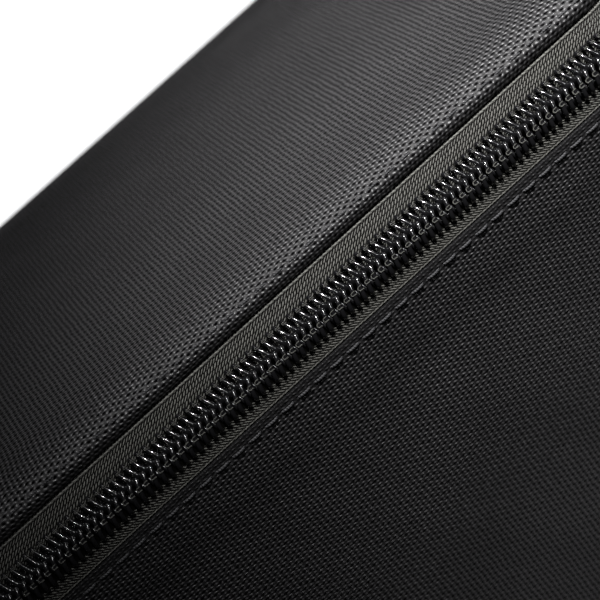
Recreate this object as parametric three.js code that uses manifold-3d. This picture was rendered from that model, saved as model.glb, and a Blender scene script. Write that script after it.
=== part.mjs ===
// Soft box-shaped pouch for storing and charging battery packs: padded cloth body, cloth-hinged lid
// closed on three sides by a coil zip, slider with pull, and a webbing carry handle on the left end.
// Millimetres, +Z up, front towards -Y, left towards -X.
// The origin is the middle of the underside of the base.
import * as THREE from "three";
import Module from "manifold-3d";
import { mergeVertices } from "three/addons/utils/BufferGeometryUtils.js";

const wasm = await Module();
wasm.setup();

// ---- driving dimensions ----
// "Inset" is always the distance inwards from an outline; a negative inset stands proud of it.
const HALF_LENGTH = 155 / 2; // outside, along X
const HALF_DEPTH = 90 / 2; // outside, along Y
const FRONT_RADIUS = 18; // plan radius of the two front corners
const BACK_RADIUS = 10; // plan radius of the two back corners
const FRONT_STEPS = 7; // segments in a front corner

const CLOTH = 0.8; // double layer of outer cloth
const WALL_TOP = 101.5; // folded top edge of the front and side walls
const BASE_CLOTH = 0.9;
const BASE_INSET = 4.4;
const BASE_ROLL = 5; // height of the rolled lower edge of the wall
const WALL_OVERLAP = 0.2; // run of the wall past the start of the back corners, on both panels
const BOARD = { inset: 5.0, z: [1.3, 2.7] };
const PADDING = { inset: [2.0, 5.0], z: [3.4, 96] };
const LINING_OUT = 5.3; // inset of the lining's outer face
const LINING_IN = 5.8; // inset of the lining's inner face
const LINING_TOP = 97.2;

const THREAD_GAP = 0.08; // clearance between a stitch and the cloth under it
const THREAD = 0.25; // how far a cloth stitch stands out beyond that gap
const STRAP_THREAD = 0.26; // the same for the stitches on the handle

// The zip lies on a 45 degree band between the wall's top fold and the lid's hem.
const ZIP_INSET = 3.75; // centre of the chain
const ZIP_Z = 105.25;
const TAPE_OUT = -0.5; // outward offset of the tape's outer face from the band
const TAPE_IN = -1.0; // outward offset of the tape's inner face
const TAPE = TAPE_OUT - TAPE_IN;
const CHAIN_HALF = 3.0; // half the width of the meshed coil
const CHAIN_GAP = 0.15; // half the gap kept between the two coils
const COIL_BASE = -0.4;
const COIL_TOP = 1.9;
const TAPE_END_Y = 34;
const COIL_END_Y = 33;
const SPLIT_Y = 19.5; // on the right the lid's half of the zip stops here, in front of the slider
const JOINED_START_Y = SPLIT_Y + 0.3; // the joined end of the zip runs back from here

const HINGE_HALF = 62; // half the length of both hinge strips

const LID_INSET = 8; // lid edge, inset from the wall on the front and the sides
const LID_FRONT_Y = -HALF_DEPTH + LID_INSET;
const LID_BACK_Y = 44.7;
const LID_BACK_RADIUS = 5;
const HEM_BOTTOM = 109.6;
const HEM_TOP = 112.4; // where the hem turns into the shoulder
const SHOULDER = 10; // width of the rolled shoulder
const SHOULDER_Z = 114.4;
const SHOULDER_STEPS = 5;
const CROWN_Z = 115; // highest point of the lid

const SLIDER_Y = 27; // centre of the parked slider
const SLIDER_HALF = 11 / 2;

const HANDLE_MID_Z = 51.5;

const COS_45 = Math.SQRT1_2;
const radians = THREE.MathUtils.degToRad;

// ---- materials ----
const cloth = { name: "black nylon cloth", color: 0x1c1c1e, roughness: 0.9 };
const tapeCloth = { name: "zip tape", color: 0x232320, roughness: 0.85 };
const nylon = { name: "black nylon coil", color: 0x0c0c0d, roughness: 0.25 };
const thread = { name: "sewing thread", color: 0x2a2a2c, roughness: 0.8 };
const webbing = { name: "black webbing", color: 0x17171a, roughness: 0.85 };
const silver = { name: "silver glass cloth", color: 0x9a9c9e, roughness: 0.5, metalness: 0.2 };
const felt = { name: "grey felt", color: 0x7c7c78, roughness: 0.95 };
const metal = { name: "black painted zinc", color: 0x1a1a1b, roughness: 0.35, metalness: 0.8 };
const rubber = { name: "black rubber", color: 0x101010, roughness: 0.7 };
const greyBoard = { name: "grey board", color: 0x55544f, roughness: 0.9 };

const pouch = new THREE.Group();
pouch.name = "battery_pouch";

function add(name, geometry, look) {
  const mesh = new THREE.Mesh(geometry, new THREE.MeshStandardMaterial(look));
  mesh.name = name;
  pouch.add(mesh);
}

// ---- closed surfaces from rows of points ----
// Turns the faces so that neighbours agree in direction.
function agreeing(faces) {
  const edgeKey = (from, to) => (from < to ? `${from}_${to}` : `${to}_${from}`);
  const edgesOf = ([a, b, c]) => [
    [a, b],
    [b, c],
    [c, a],
  ];
  const uses = new Map();
  faces.forEach((face, index) => {
    for (const [from, to] of edgesOf(face)) {
      const key = edgeKey(from, to);
      if (!uses.has(key)) uses.set(key, []);
      uses.get(key).push({ index, rising: from < to });
    }
  });
  const turned = new Array(faces.length).fill(null);
  turned[0] = false;
  const queue = [0];
  while (queue.length) {
    const current = queue.pop();
    for (const [from, to] of edgesOf(faces[current])) {
      for (const { index, rising } of uses.get(edgeKey(from, to))) {
        if (index === current || turned[index] !== null) continue;
        turned[index] = rising === from < to ? !turned[current] : turned[current];
        queue.push(index);
      }
    }
  }
  return faces.map((face, i) => (turned[i] ? reversed(face) : face));
}

const reversed = ([a, b, c]) => [a, c, b];

// A closed surface that faces outwards, whichever way its faces are given.
function surface(points, looseFaces) {
  const faces = agreeing(looseFaces);
  let volume = 0;
  for (const face of faces) {
    const [p, q, r] = face.map((i) => new THREE.Vector3(...points[i]));
    volume += p.dot(q.cross(r));
  }
  const outward = volume < 0 ? faces.map(reversed) : faces;
  const position = outward.flat().flatMap((i) => points[i]);
  const geometry = new THREE.BufferGeometry();
  geometry.setAttribute("position", new THREE.Float32BufferAttribute(position, 3));
  geometry.computeVertexNormals();
  return geometry;
}

// Faces between neighbouring rows of closed rings of points.
function skinFaces(rowCount, rowLength, loop) {
  const faces = [];
  for (let i = 0; i < (loop ? rowCount : rowCount - 1); i++) {
    const row = i * rowLength;
    const nextRow = ((i + 1) % rowCount) * rowLength;
    for (let j = 0; j < rowLength; j++) {
      const k = (j + 1) % rowLength;
      faces.push([row + j, row + k, nextRow + k], [row + j, nextRow + k, nextRow + j]);
    }
  }
  return faces;
}

// The section's points in a flat frame of their own plane.
function flatten(row) {
  const points = row.map((point) => new THREE.Vector3(...point));
  const normal = new THREE.Vector3();
  points.forEach((point, i) => normal.add(point.clone().cross(points[(i + 1) % points.length])));
  normal.normalize();
  const across = points[1].clone().sub(points[0]).normalize();
  const upward = normal.clone().cross(across);
  return points.map((point) => new THREE.Vector2(point.dot(across), point.dot(upward)));
}

// rows[i][j]: row i along the run, point j round the section. An open run gets flat ends.
function sweep(rows, loop = false) {
  const faces = skinFaces(rows.length, rows[0].length, loop);
  if (!loop) {
    for (const end of [0, rows.length - 1]) {
      const start = end * rows[0].length;
      for (const triangle of THREE.ShapeUtils.triangulateShape(flatten(rows[end]), []))
        faces.push(triangle.map((i) => start + i));
    }
  }
  return surface(rows.flat(), faces);
}

// ---- plan outlines ----
// A station holds a corner centre, its radius and the outward direction at that place.
function arc(centreX, centreY, radius, from, to, steps = FRONT_STEPS) {
  const stations = [];
  for (let i = 0; i <= steps; i++) {
    const angle = radians(from + ((to - from) * i) / steps);
    const [outX, outY] = [Math.cos(angle), Math.sin(angle)];
    stations.push({ centreX, centreY, radius, outX, outY });
  }
  return stations;
}

// A station on the right (side 1) or left (side -1) wall, turned backwards by an angle in degrees.
const sideStation = (side, y, radius = FRONT_RADIUS, turn = 0) => ({
  centreX: side * (HALF_LENGTH - radius),
  centreY: y,
  radius,
  outX: side * Math.cos(radians(turn)),
  outY: Math.sin(radians(turn)),
});

// Whole rounded outline, anticlockwise from above.
function roundedLoop({ halfX, frontY, backY, frontRadius, backRadius, backSteps }) {
  const [backX, backCentreY] = [halfX - backRadius, backY - backRadius];
  const [frontX, frontCentreY] = [halfX - frontRadius, frontY + frontRadius];
  return [
    ...arc(backX, backCentreY, backRadius, 0, 90, backSteps),
    ...arc(-backX, backCentreY, backRadius, 90, 180, backSteps),
    ...arc(-frontX, frontCentreY, frontRadius, 180, 270),
    ...arc(frontX, frontCentreY, frontRadius, 270, 360),
  ].map((station) => ({ ...station, middleY: (frontY + backY) / 2 }));
}

const bodyLoop = roundedLoop({
  halfX: HALF_LENGTH,
  frontY: -HALF_DEPTH,
  backY: HALF_DEPTH,
  frontRadius: FRONT_RADIUS,
  backRadius: BACK_RADIUS,
  backSteps: 5,
});
const lidLoop = roundedLoop({
  halfX: HALF_LENGTH - LID_INSET,
  frontY: LID_FRONT_Y,
  backY: LID_BACK_Y,
  frontRadius: FRONT_RADIUS - LID_INSET,
  backRadius: LID_BACK_RADIUS,
  backSteps: 4,
});

// Front and sides, from the right side at rightY round the front to the left side at leftY.
function frontRun(rightY, leftY = rightY) {
  const cornerX = HALF_LENGTH - FRONT_RADIUS;
  const cornerY = -HALF_DEPTH + FRONT_RADIUS;
  return [
    sideStation(1, rightY),
    ...arc(cornerX, cornerY, FRONT_RADIUS, 0, -90),
    ...arc(-cornerX, cornerY, FRONT_RADIUS, -90, -180),
    sideStation(-1, leftY),
  ];
}

const rightRun = (startY, endY) => [sideStation(1, startY), sideStation(1, endY)];

// An inset past a corner's radius turns the corner nearly square instead of folding it over.
const MIN_CORNER = 0.4;
function pointAt({ centreX, centreY, radius, outX, outY, middleY = 0 }, inset, z) {
  const kept = Math.max(radius - inset, MIN_CORNER);
  const shift = inset - (radius - kept);
  return [
    centreX + kept * outX - Math.sign(centreX) * shift,
    centreY + kept * outY - Math.sign(centreY - middleY) * shift,
    z,
  ];
}

// Sweeps a section of [inset, z] points along stations; a function gives a section per station.
function along(stations, section, loop = false) {
  const sectionAt = typeof section === "function" ? section : () => section;
  return sweep(
    stations.map((station) => sectionAt(station).map(([inset, z]) => pointAt(station, inset, z))),
    loop,
  );
}

// Rings of a [inset, z] profile round a loop; the first and last close to a middle point.
function bowl(loop, profile, firstZ = profile[0][1], lastZ = profile.at(-1)[1]) {
  const rings = profile.map(([inset, z]) => loop.map((station) => pointAt(station, inset, z)));
  const faces = skinFaces(rings.length, loop.length, false);
  const lastStart = (rings.length - 1) * loop.length;
  const firstMiddle = rings.length * loop.length;
  for (let i = 0; i < loop.length; i++) {
    const next = (i + 1) % loop.length;
    faces.push([firstMiddle, next, i], [firstMiddle + 1, lastStart + i, lastStart + next]);
  }
  const middleY = loop[0].middleY;
  return surface([...rings.flat(), [0, middleY, firstZ], [0, middleY, lastZ]], faces);
}

const slab = (loop, inset, [bottom, top]) =>
  bowl(loop, [
    [inset, bottom],
    [inset, top],
  ]);

// ---- shared sections, as [inset, z] points ----
const rectangle = ([outer, inner], [bottom, top]) => [
  [outer, bottom],
  [outer, top],
  [inner, top],
  [inner, bottom],
];

// Rounded fold of cloth at height z; the cloth lies above it (cloudSide 1) or below it (-1).
const foldedEdge = (z, clothSide) => [
  [0, z + clothSide * 0.4],
  [0.15, z + clothSide * 0.1],
  [0.4, z],
  [0.65, z + clothSide * 0.1],
  [CLOTH, z + clothSide * 0.4],
];

const stitchSection = (z) => [
  [-THREAD_GAP, z - 0.2],
  [-THREAD_GAP - THREAD, z - 0.1],
  [-THREAD_GAP - THREAD, z + 0.1],
  [-THREAD_GAP, z + 0.2],
];

// Rolled lower edge of the wall, from its inner face under to its outer face.
const wallFoot = [
  [0.81, BASE_ROLL + 0.2],
  [1.8, 2.4],
  [4.0, 1.2],
  [4.0, 0.4],
  [1.2, 1.7],
  [0, BASE_ROLL],
];

// ---- simple solids ----
// Box between two opposite corners.
function box(corner, opposite) {
  const size = corner.map((value, axis) => Math.abs(opposite[axis] - value));
  const centre = corner.map((value, axis) => (value + opposite[axis]) / 2);
  return new THREE.BoxGeometry(...size).translate(...centre);
}

function solid(geometry) {
  const bare = geometry.clone();
  bare.deleteAttribute("normal");
  bare.deleteAttribute("uv");
  const merged = mergeVertices(bare, 1e-4);
  return new wasm.Manifold(
    new wasm.Mesh({
      numProp: 3,
      vertProperties: new Float32Array(merged.attributes.position.array),
      triVerts: new Uint32Array(merged.index.array),
    }),
  );
}

// Union of several geometries.
function joined(parts) {
  const mesh = parts
    .map(solid)
    .reduce((whole, part) => whole.add(part))
    .getMesh();
  const geometry = new THREE.BufferGeometry();
  const position = new Float32Array(mesh.vertProperties);
  geometry.setAttribute("position", new THREE.BufferAttribute(position, 3));
  geometry.setIndex(new THREE.BufferAttribute(new Uint32Array(mesh.triVerts), 1));
  geometry.computeVertexNormals();
  return geometry;
}

// ---- body ----
const wallEndY = HALF_DEPTH - BACK_RADIUS;
add(
  "front_side_band",
  along(frontRun(wallEndY - WALL_OVERLAP), [...wallFoot, ...foldedEdge(WALL_TOP, -1)]),
  cloth,
);

// The back panel wraps both back corners and rises to the hinge; at the corners it leans inwards
// and closes the zip band.
const BACK_TOP_Z = 108.7;
const BACK_LEAN = 7.2; // inset of the top edge where the panel leans the most
const LEAN_START = 0.35; // angle round the corner, in radians, where the lean starts to fade

function backSection({ outY }) {
  const upright = THREE.MathUtils.smoothstep(Math.asin(outY), LEAN_START, Math.PI / 2);
  const topInset = BACK_LEAN * (1 - upright);
  const slope = new THREE.Vector2(topInset, BACK_TOP_Z - WALL_TOP).normalize();
  const isUpright = slope.x < 1e-3;
  // height at which the inner faces of the wall and the leaning part meet
  const bendZ = isUpright
    ? WALL_TOP
    : WALL_TOP - CLOTH * slope.x + ((CLOTH - CLOTH * slope.y) / slope.x) * slope.y;
  return [
    ...wallFoot,
    [0, WALL_TOP],
    [topInset, BACK_TOP_Z],
    [topInset + CLOTH * slope.y, BACK_TOP_Z - CLOTH * slope.x],
    [CLOTH, bendZ],
  ];
}

const backCornerX = HALF_LENGTH - BACK_RADIUS;
const backRun = [
  sideStation(1, wallEndY + WALL_OVERLAP, BACK_RADIUS),
  ...arc(backCornerX, wallEndY, BACK_RADIUS, 4, 90, 8),
  ...arc(-backCornerX, wallEndY, BACK_RADIUS, 90, 176, 8),
  sideStation(-1, wallEndY + WALL_OVERLAP, BACK_RADIUS),
];
add("back_panel", along(backRun, backSection), cloth);

add("base_panel", slab(bodyLoop, BASE_INSET, [0, BASE_CLOTH]), cloth);
add("base_board", slab(bodyLoop, BOARD.inset, BOARD.z), greyBoard);
add("wall_padding", along(bodyLoop, rectangle(PADDING.inset, PADDING.z), true), felt);

// Thin open-topped lining: outer face from the floor up, then down the inner face.
const liningProfile = [
  [LINING_OUT + 1, 3.1],
  [LINING_OUT, 3.8],
  [LINING_OUT, LINING_TOP],
  [LINING_IN, LINING_TOP],
  [LINING_IN, 4.2],
  [LINING_IN + 1, 3.6],
];
add("inner_lining", bowl(bodyLoop, liningProfile), silver);

// Inverted U over the top of padding and lining.
const rimSection = [
  [1.65, 93],
  [1.65, 97.8],
  [1.9, 98.05],
  [6.05, 98.05],
  [6.3, 97.8],
  [6.3, 93],
  [6.0, 93],
  [6.0, 97.5],
  [1.9, 97.5],
  [1.9, 93],
];
add("rim_binding", along(bodyLoop, rimSection, true), tapeCloth);

add("body_topstitch", along(frontRun(31.5), stitchSection(100)), thread);

const SIDES = [
  ["right", 1],
  ["left", -1],
];
for (const [name, side] of SIDES) {
  const nearX = side * (HALF_LENGTH + THREAD_GAP);
  const farX = nearX + side * THREAD;
  add(`side_seam_stitch_${name}`, box([nearX, 32.9, 7], [farX, 33.3, 99]), thread);
}

// ---- zip ----
// Band coordinates (up the slope, outwards from it) to [inset, z].
const band = (up, out) => [ZIP_INSET + COS_45 * (up - out), ZIP_Z + COS_45 * (up + out)];
const bandAtInset = (inset, out) => band((inset - ZIP_INSET) / COS_45 + out, out);

// Tape from its edge beside the chain along the band, then bent upright to end at endZ.
const tapeSection = (edge, inset, endZ) => [
  band(edge, TAPE_OUT),
  bandAtInset(inset, TAPE_OUT),
  [inset, endZ],
  [inset + TAPE, endZ],
  bandAtInset(inset + TAPE, TAPE_IN),
  band(edge, TAPE_IN),
];

// Sections of the upper half (half 1); half -1 mirrors them down the slope.
// Columns: up the slope, outwards from the band.
const COIL_POINTS = [
  [CHAIN_GAP, COIL_BASE],
  [CHAIN_GAP, 1.2],
  [0.6, 1.75],
  [1.3, COIL_TOP],
  [2.2, 1.6],
  [2.85, 0.9],
  [CHAIN_HALF, 0.2],
  [2.7, COIL_BASE],
];
const COIL_THREAD_POINTS = [
  [1.1, 2.0],
  [1.1, 2.25],
  [1.7, 2.25],
  [1.7, 1.98],
];
const halfSection = (points, half) => points.map(([up, out]) => band(half * up, out));

function addZipHalf(name, { half, bendInset, tapeEndZ, tapeRun, coilRun }) {
  const section = tapeSection(half * CHAIN_GAP, bendInset, tapeEndZ);
  add(`${name}_zip_tape`, along(tapeRun, section), tapeCloth);
  add(`${name}_zip_coil`, along(coilRun, halfSection(COIL_POINTS, half)), nylon);
  add(`${name}_coil_thread`, along(coilRun, halfSection(COIL_THREAD_POINTS, half)), thread);
}

addZipHalf("lower", {
  half: -1,
  bendInset: 1.0,
  tapeEndZ: 96.5,
  tapeRun: frontRun(TAPE_END_Y),
  coilRun: frontRun(COIL_END_Y),
});

// Upper half of the joined end, under the parked slider.
add(
  "zip_end_coil_right",
  along(rightRun(COIL_END_Y, JOINED_START_Y), halfSection(COIL_POINTS, 1)),
  nylon,
);
const END_TAPE_WIDTH = 5.6; // from the middle of the chain up the slope
const endTapeSection = [
  band(CHAIN_GAP, TAPE_OUT),
  band(END_TAPE_WIDTH, TAPE_OUT),
  band(END_TAPE_WIDTH, TAPE_IN),
  band(CHAIN_GAP, TAPE_IN),
];
add("zip_end_tape_right", along(rightRun(TAPE_END_Y, JOINED_START_Y), endTapeSection), tapeCloth);

// Cloth tabs over the ends of the zip, starting on the sides and turning into the back corners.
const tabSection = [
  band(-4.6, 0.15),
  band(-4.6, 0.7),
  band(-4.3, 0.95),
  band(4.3, 0.95),
  band(4.6, 0.7),
  band(4.6, 0.15),
];
for (const [name, side] of SIDES) {
  const stations = [
    sideStation(side, 33.3, BACK_RADIUS),
    ...[0, 6, 12, 18].map((turn) => sideStation(side, wallEndY, BACK_RADIUS, turn)),
  ];
  add(`zip_end_tab_${name}`, along(stations, tabSection), cloth);
}

// ---- hinge, body side ----
add("hinge_strip", box([-HINGE_HALF, 45.3, 96], [HINGE_HALF, 46.1, 108.4]), webbing);
add("hinge_stitch", box([-60, 46.15, 98.2], [60, 46.4, 98.6]), thread);

// ---- carry handle on the left end ----
const STRAP_HALF = 12.5; // half the width of the webbing
const STRAP = 1.8; // thickness of the webbing
const STRAP_OUT = 1.3; // middle of the sewn webbing, out from the end wall
const HANDLE_OUT = 9; // ends of the grip, out from the end wall
const GRIP_BOW = 4.2; // how much further out the middle of the grip is
const GRIP_LENGTH = 35.6; // height of the grip
const GRIP_THICK = 3.8;
const GRIP_STEPS = 10;
const STITCH_FROM_MID = 35; // height from the handle's middle to that of each stitched box

// Stations: [out from the end wall, z, direction out, direction in z, half width, thickness].
function strap(stations) {
  return sweep(
    stations.map(([out, z, directionOut, directionZ, halfWidth, thickness]) => {
      const length = Math.hypot(directionOut, directionZ);
      const reachOut = ((directionZ / length) * thickness) / 2;
      const reachZ = ((-directionOut / length) * thickness) / 2;
      const bevel = halfWidth - 0.4;
      // columns: share of half the thickness, y
      const section = [
        [1, bevel],
        [1, -bevel],
        [0.4, -halfWidth],
        [-0.4, -halfWidth],
        [-1, -bevel],
        [-1, bevel],
        [-0.4, halfWidth],
        [0.4, halfWidth],
      ];
      return section.map(([share, y]) => [
        -HALF_LENGTH - (out + reachOut * share),
        y,
        z + reachZ * share,
      ]);
    }),
  );
}

// Upper end piece: flat where sewn, then gathered outwards to the grip.
const END_STATIONS = [
  [STRAP_OUT, 96, 0, -1, STRAP_HALF, STRAP],
  [STRAP_OUT, 77, 0, -1, STRAP_HALF, STRAP],
  [2.0, 74.6, 0.5, -1, 12.2, 1.9],
  [3.9, 72.6, 1, -1, 11.2, 2.3],
  [6.1, 71.0, 1, -0.8, 9.6, 3.0],
  [8.7, 69.9, 0, -1, 8.4, 3.6],
];
const HANDLE_ENDS = [
  ["top", 1],
  ["bottom", -1],
];
for (const [name, end] of HANDLE_ENDS) {
  const stations = END_STATIONS.map(([out, z, directionOut, directionZ, ...size]) => [
    out,
    HANDLE_MID_Z + end * (z - HANDLE_MID_Z),
    directionOut,
    directionZ * end,
    ...size,
  ]);
  add(`handle_end_${name}`, strap(stations), webbing);
}

const gripStations = [];
for (let i = 0; i <= GRIP_STEPS; i++) {
  const share = i / GRIP_STEPS;
  const angle = Math.PI * share;
  const isEnd = i === 0 || i === GRIP_STEPS; // both ends are cut level, clear of the sewn ends
  gripStations.push([
    HANDLE_OUT + GRIP_BOW * Math.sin(angle),
    HANDLE_MID_Z + GRIP_LENGTH * (0.5 - share),
    isEnd ? 0 : GRIP_BOW * Math.PI * Math.cos(angle),
    -GRIP_LENGTH,
    8.2,
    GRIP_THICK,
  ]);
}
add("handle_grip", strap(gripStations), webbing);

// Line of stitching down the outer face of the grip.
const gripStitchStations = gripStations
  .slice(1, GRIP_STEPS)
  .map(([out, z, directionOut, directionZ]) => {
    const length = Math.hypot(directionOut, directionZ);
    const offset = GRIP_THICK / 2 + THREAD_GAP + STRAP_THREAD / 2;
    return [
      out - (directionZ / length) * offset,
      z + (directionOut / length) * offset,
      directionOut,
      directionZ,
      1.0,
      STRAP_THREAD,
    ];
  });
add("handle_grip_stitch", strap(gripStitchStations), thread);

// Box of stitching with a cross in it. Columns: start y and z, end y and z, from its middle.
const STITCH_LINES = [
  [-9.5, -7, 9.5, -7],
  [-9.5, 7, 9.5, 7],
  [-9.5, -7, -9.5, 7],
  [9.5, -7, 9.5, 7],
  [-9.5, -7, 9.5, 7],
  [-9.5, 7, 9.5, -7],
];
const STITCH_WIDTH = 0.5;
const stitchX = -HALF_LENGTH - STRAP_OUT - STRAP / 2 - THREAD_GAP - STRAP_THREAD / 2;
for (const [name, end] of HANDLE_ENDS) {
  const middleZ = HANDLE_MID_Z + end * STITCH_FROM_MID;
  const bars = STITCH_LINES.map(([startY, startZ, endY, endZ]) => {
    const [runY, runZ] = [endY - startY, endZ - startZ];
    const length = Math.hypot(runY, runZ) + STITCH_WIDTH;
    return new THREE.BoxGeometry(STRAP_THREAD, STITCH_WIDTH, length)
      .rotateX(Math.atan2(-runY, runZ))
      .translate(stitchX, (startY + endY) / 2, middleZ + (startZ + endZ) / 2);
  });
  add(`handle_stitch_${name}`, joined(bars), thread);
}

// ---- slider, drawn in its own frame: a up the slope, b towards the front, c outwards ----
const PLATE = 1.2; // thickness of the slider's two plates
const PLATE_REACH = 2.5; // inner face of the top plate and underside of the low one, from the band

const sliderFrame = new THREE.Matrix4().makeBasis(
  new THREE.Vector3(-COS_45, 0, COS_45),
  new THREE.Vector3(0, -1, 0),
  new THREE.Vector3(COS_45, 0, COS_45),
);
sliderFrame.setPosition(HALF_LENGTH - ZIP_INSET, SLIDER_Y, ZIP_Z);
const placed = (geometry) => geometry.applyMatrix4(sliderFrame);

// Flat plate from an [a, b] outline, with its underside at c = bottom.
function plate(outline, bottom, thickness) {
  const shape = new THREE.Shape(outline.map(([a, b]) => new THREE.Vector2(a, b)));
  const settings = { depth: thickness, bevelEnabled: false };
  return new THREE.ExtrudeGeometry(shape, settings).translate(0, 0, bottom);
}

// Outline of the top plate, widest at b = -2.5.
const shoulderB = SLIDER_HALF - 1.2;
const topPlan = [
  [-3.0, SLIDER_HALF],
  [-4.1, shoulderB],
  [-4.1, 0],
  [-4.3, -2.5],
  [-3.2, -SLIDER_HALF],
  [3.2, -SLIDER_HALF],
  [4.3, -2.5],
  [4.1, 0],
  [4.1, shoulderB],
  [3.0, SLIDER_HALF],
];
const lowPlan = topPlan.map(([a, b]) => [a * 0.84, b * 0.97]);
add(
  "slider_body",
  placed(
    joined([
      plate(topPlan, PLATE_REACH, PLATE),
      plate(lowPlan, -PLATE_REACH, PLATE),
      box([-0.08, -4.2, -1.6], [0.08, -1.0, 2.8]), // blade between the two coils
      box([-4.1, -2.4, 0.15], [-3.35, shoulderB, 2.6]), // side flanges
      box([3.35, -2.4, 0.15], [4.1, shoulderB, 2.6]),
    ]),
  ),
  metal,
);

// Bridge the pull hangs from: an arch drawn in (b, c) and thick along a.
function bridge() {
  const quarter = Math.PI / 2;
  const thickness = 2.0;
  const arch = new THREE.Shape();
  arch.moveTo(-4.0, 3.8);
  arch.lineTo(-4.0, 6.0);
  arch.absarc(-2.2, 6.0, 1.8, Math.PI, quarter, true);
  arch.lineTo(2.2, 7.8);
  arch.absarc(2.2, 6.0, 1.8, quarter, 0, true);
  arch.lineTo(4.0, 3.8);
  arch.lineTo(2.7, 3.8);
  arch.lineTo(2.7, 5.6);
  arch.absarc(1.7, 5.6, 1.0, 0, quarter, false);
  arch.lineTo(-1.7, 6.6);
  arch.absarc(-1.7, 5.6, 1.0, quarter, Math.PI, false);
  arch.lineTo(-2.7, 3.8);
  arch.closePath();
  const drawnToSlider = new THREE.Matrix4().makeBasis(
    new THREE.Vector3(0, 1, 0),
    new THREE.Vector3(0, 0, 1),
    new THREE.Vector3(1, 0, 0),
  );
  const settings = { depth: thickness, bevelEnabled: false, curveSegments: 5 };
  return new THREE.ExtrudeGeometry(arch, settings)
    .translate(0, 0, -thickness / 2)
    .applyMatrix4(drawnToSlider);
}
add("slider_crown", placed(bridge()), metal);

// Pull: a pin through the bridge, two arms and a tongue that ends just short of the grip.
const PIVOT_OUT = 5.7; // pull pivot, outward from the band
const PULL_HALF = 2.9; // half the width of the pull
const pullLow = PIVOT_OUT - 0.4;
const pullHigh = PIVOT_OUT + 0.4;
const pin = new THREE.CylinderGeometry(0.6, 0.6, 5.2, 14)
  .rotateZ(Math.PI / 2)
  .translate(0, 0, PIVOT_OUT);
add(
  "pull_tab",
  placed(
    joined([
      pin,
      box([-PULL_HALF, -0.6, pullLow], [-1.5, 6.2, pullHigh]),
      box([1.5, -0.6, pullLow], [PULL_HALF, 6.2, pullHigh]),
      box([-PULL_HALF, 5.6, pullLow], [PULL_HALF, 12.0, pullHigh]),
    ]),
  ),
  metal,
);
const gripPlan = [
  [-2.3, 12.2],
  [-2.95, 13.0],
  [-2.95, 27.5],
  [-2.2, 29.2],
  [0, 30.0],
  [2.2, 29.2],
  [2.95, 27.5],
  [2.95, 13.0],
  [2.3, 12.2],
];
add("pull_grip", placed(plate(gripPlan, 5.1, 1.6)), rubber);

// ---- lid ----
// Outer face from the hem over the rolled shoulder towards the crown, and the inner face under it.
const lidOuter = [];
for (let i = 0; i <= SHOULDER_STEPS; i++) {
  const angle = (i * Math.PI) / (2 * SHOULDER_STEPS);
  lidOuter.push([
    SHOULDER * (1 - Math.cos(angle)),
    HEM_TOP + (SHOULDER_Z - HEM_TOP) * Math.sin(angle),
  ]);
}
lidOuter.push([18, 114.72], [28, 114.92]);
const lidInner = lidOuter.map(([inset, z], i) => {
  if (i === 0) return [CLOTH, z - 0.1];
  const before = lidOuter[i - 1];
  const after = lidOuter[Math.min(lidOuter.length - 1, i + 1)];
  const [runInset, runZ] = [after[0] - before[0], after[1] - before[1]];
  const length = Math.hypot(runInset, runZ);
  return [inset + (CLOTH * runZ) / length, z - (CLOTH * runInset) / length];
});
const lidProfile = [...lidOuter.toReversed(), ...foldedEdge(HEM_BOTTOM, 1), ...lidInner];
add("lid_panel", bowl(lidLoop, lidProfile, CROWN_Z, CROWN_Z - CLOTH), cloth);

const lidPaddingProfile = [
  [2.0, 110.6],
  [2.0, 112.1],
  [5.3, 112.75],
  [10, 113.15],
  [28, 113.7],
];
add("lid_padding", bowl(lidLoop, lidPaddingProfile, 110.6, 113.8), felt);
add("lid_lining", slab(lidLoop, 2.0, [109.8, 110.3]), silver);
add("lid_binding", along(lidLoop, rectangle([1.9, 4.6], [109.1, 109.6]), true), tapeCloth);
add("lid_topstitch", along(lidLoop, stitchSection(112.3), true), thread);
add("lid_hinge_strip", box([-HINGE_HALF, 45.1, 109.5], [HINGE_HALF, 45.8, 111.9]), webbing);

const upperRun = frontRun(SPLIT_Y, COIL_END_Y);
addZipHalf("upper", {
  half: 1,
  bendInset: 9.0,
  tapeEndZ: 111.9,
  tapeRun: upperRun,
  coilRun: upperRun,
});

export default pouch;
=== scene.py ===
# Looks for the battery pouch: cloth, zip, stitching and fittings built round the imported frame.
# The pouch stands on z = 0 with its zip running round the front (-y) and both sides (x is
# left to right). The lid hinges along the back (+y); the carry handle is on the left end (-x).
# All helper lengths are millimetres; meshes are written in metres.
import math

import bpy
import numpy as np
from mathutils import Matrix, Vector


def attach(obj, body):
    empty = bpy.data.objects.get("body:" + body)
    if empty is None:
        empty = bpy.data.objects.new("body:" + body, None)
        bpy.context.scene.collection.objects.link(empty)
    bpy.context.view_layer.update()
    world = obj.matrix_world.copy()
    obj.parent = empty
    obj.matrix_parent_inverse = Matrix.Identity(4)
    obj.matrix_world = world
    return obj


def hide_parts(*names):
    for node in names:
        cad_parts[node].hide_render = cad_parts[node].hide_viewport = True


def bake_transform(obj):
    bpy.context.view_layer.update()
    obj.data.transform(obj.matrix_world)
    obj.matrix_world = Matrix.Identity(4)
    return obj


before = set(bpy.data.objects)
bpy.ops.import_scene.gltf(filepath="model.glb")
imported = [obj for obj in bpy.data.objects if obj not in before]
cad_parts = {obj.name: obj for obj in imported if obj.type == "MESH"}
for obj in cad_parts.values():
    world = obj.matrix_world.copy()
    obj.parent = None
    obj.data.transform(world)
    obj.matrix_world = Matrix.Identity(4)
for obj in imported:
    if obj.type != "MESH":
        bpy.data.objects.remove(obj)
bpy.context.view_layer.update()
MILLI = 0.001
rng = np.random.default_rng(7)

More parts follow.
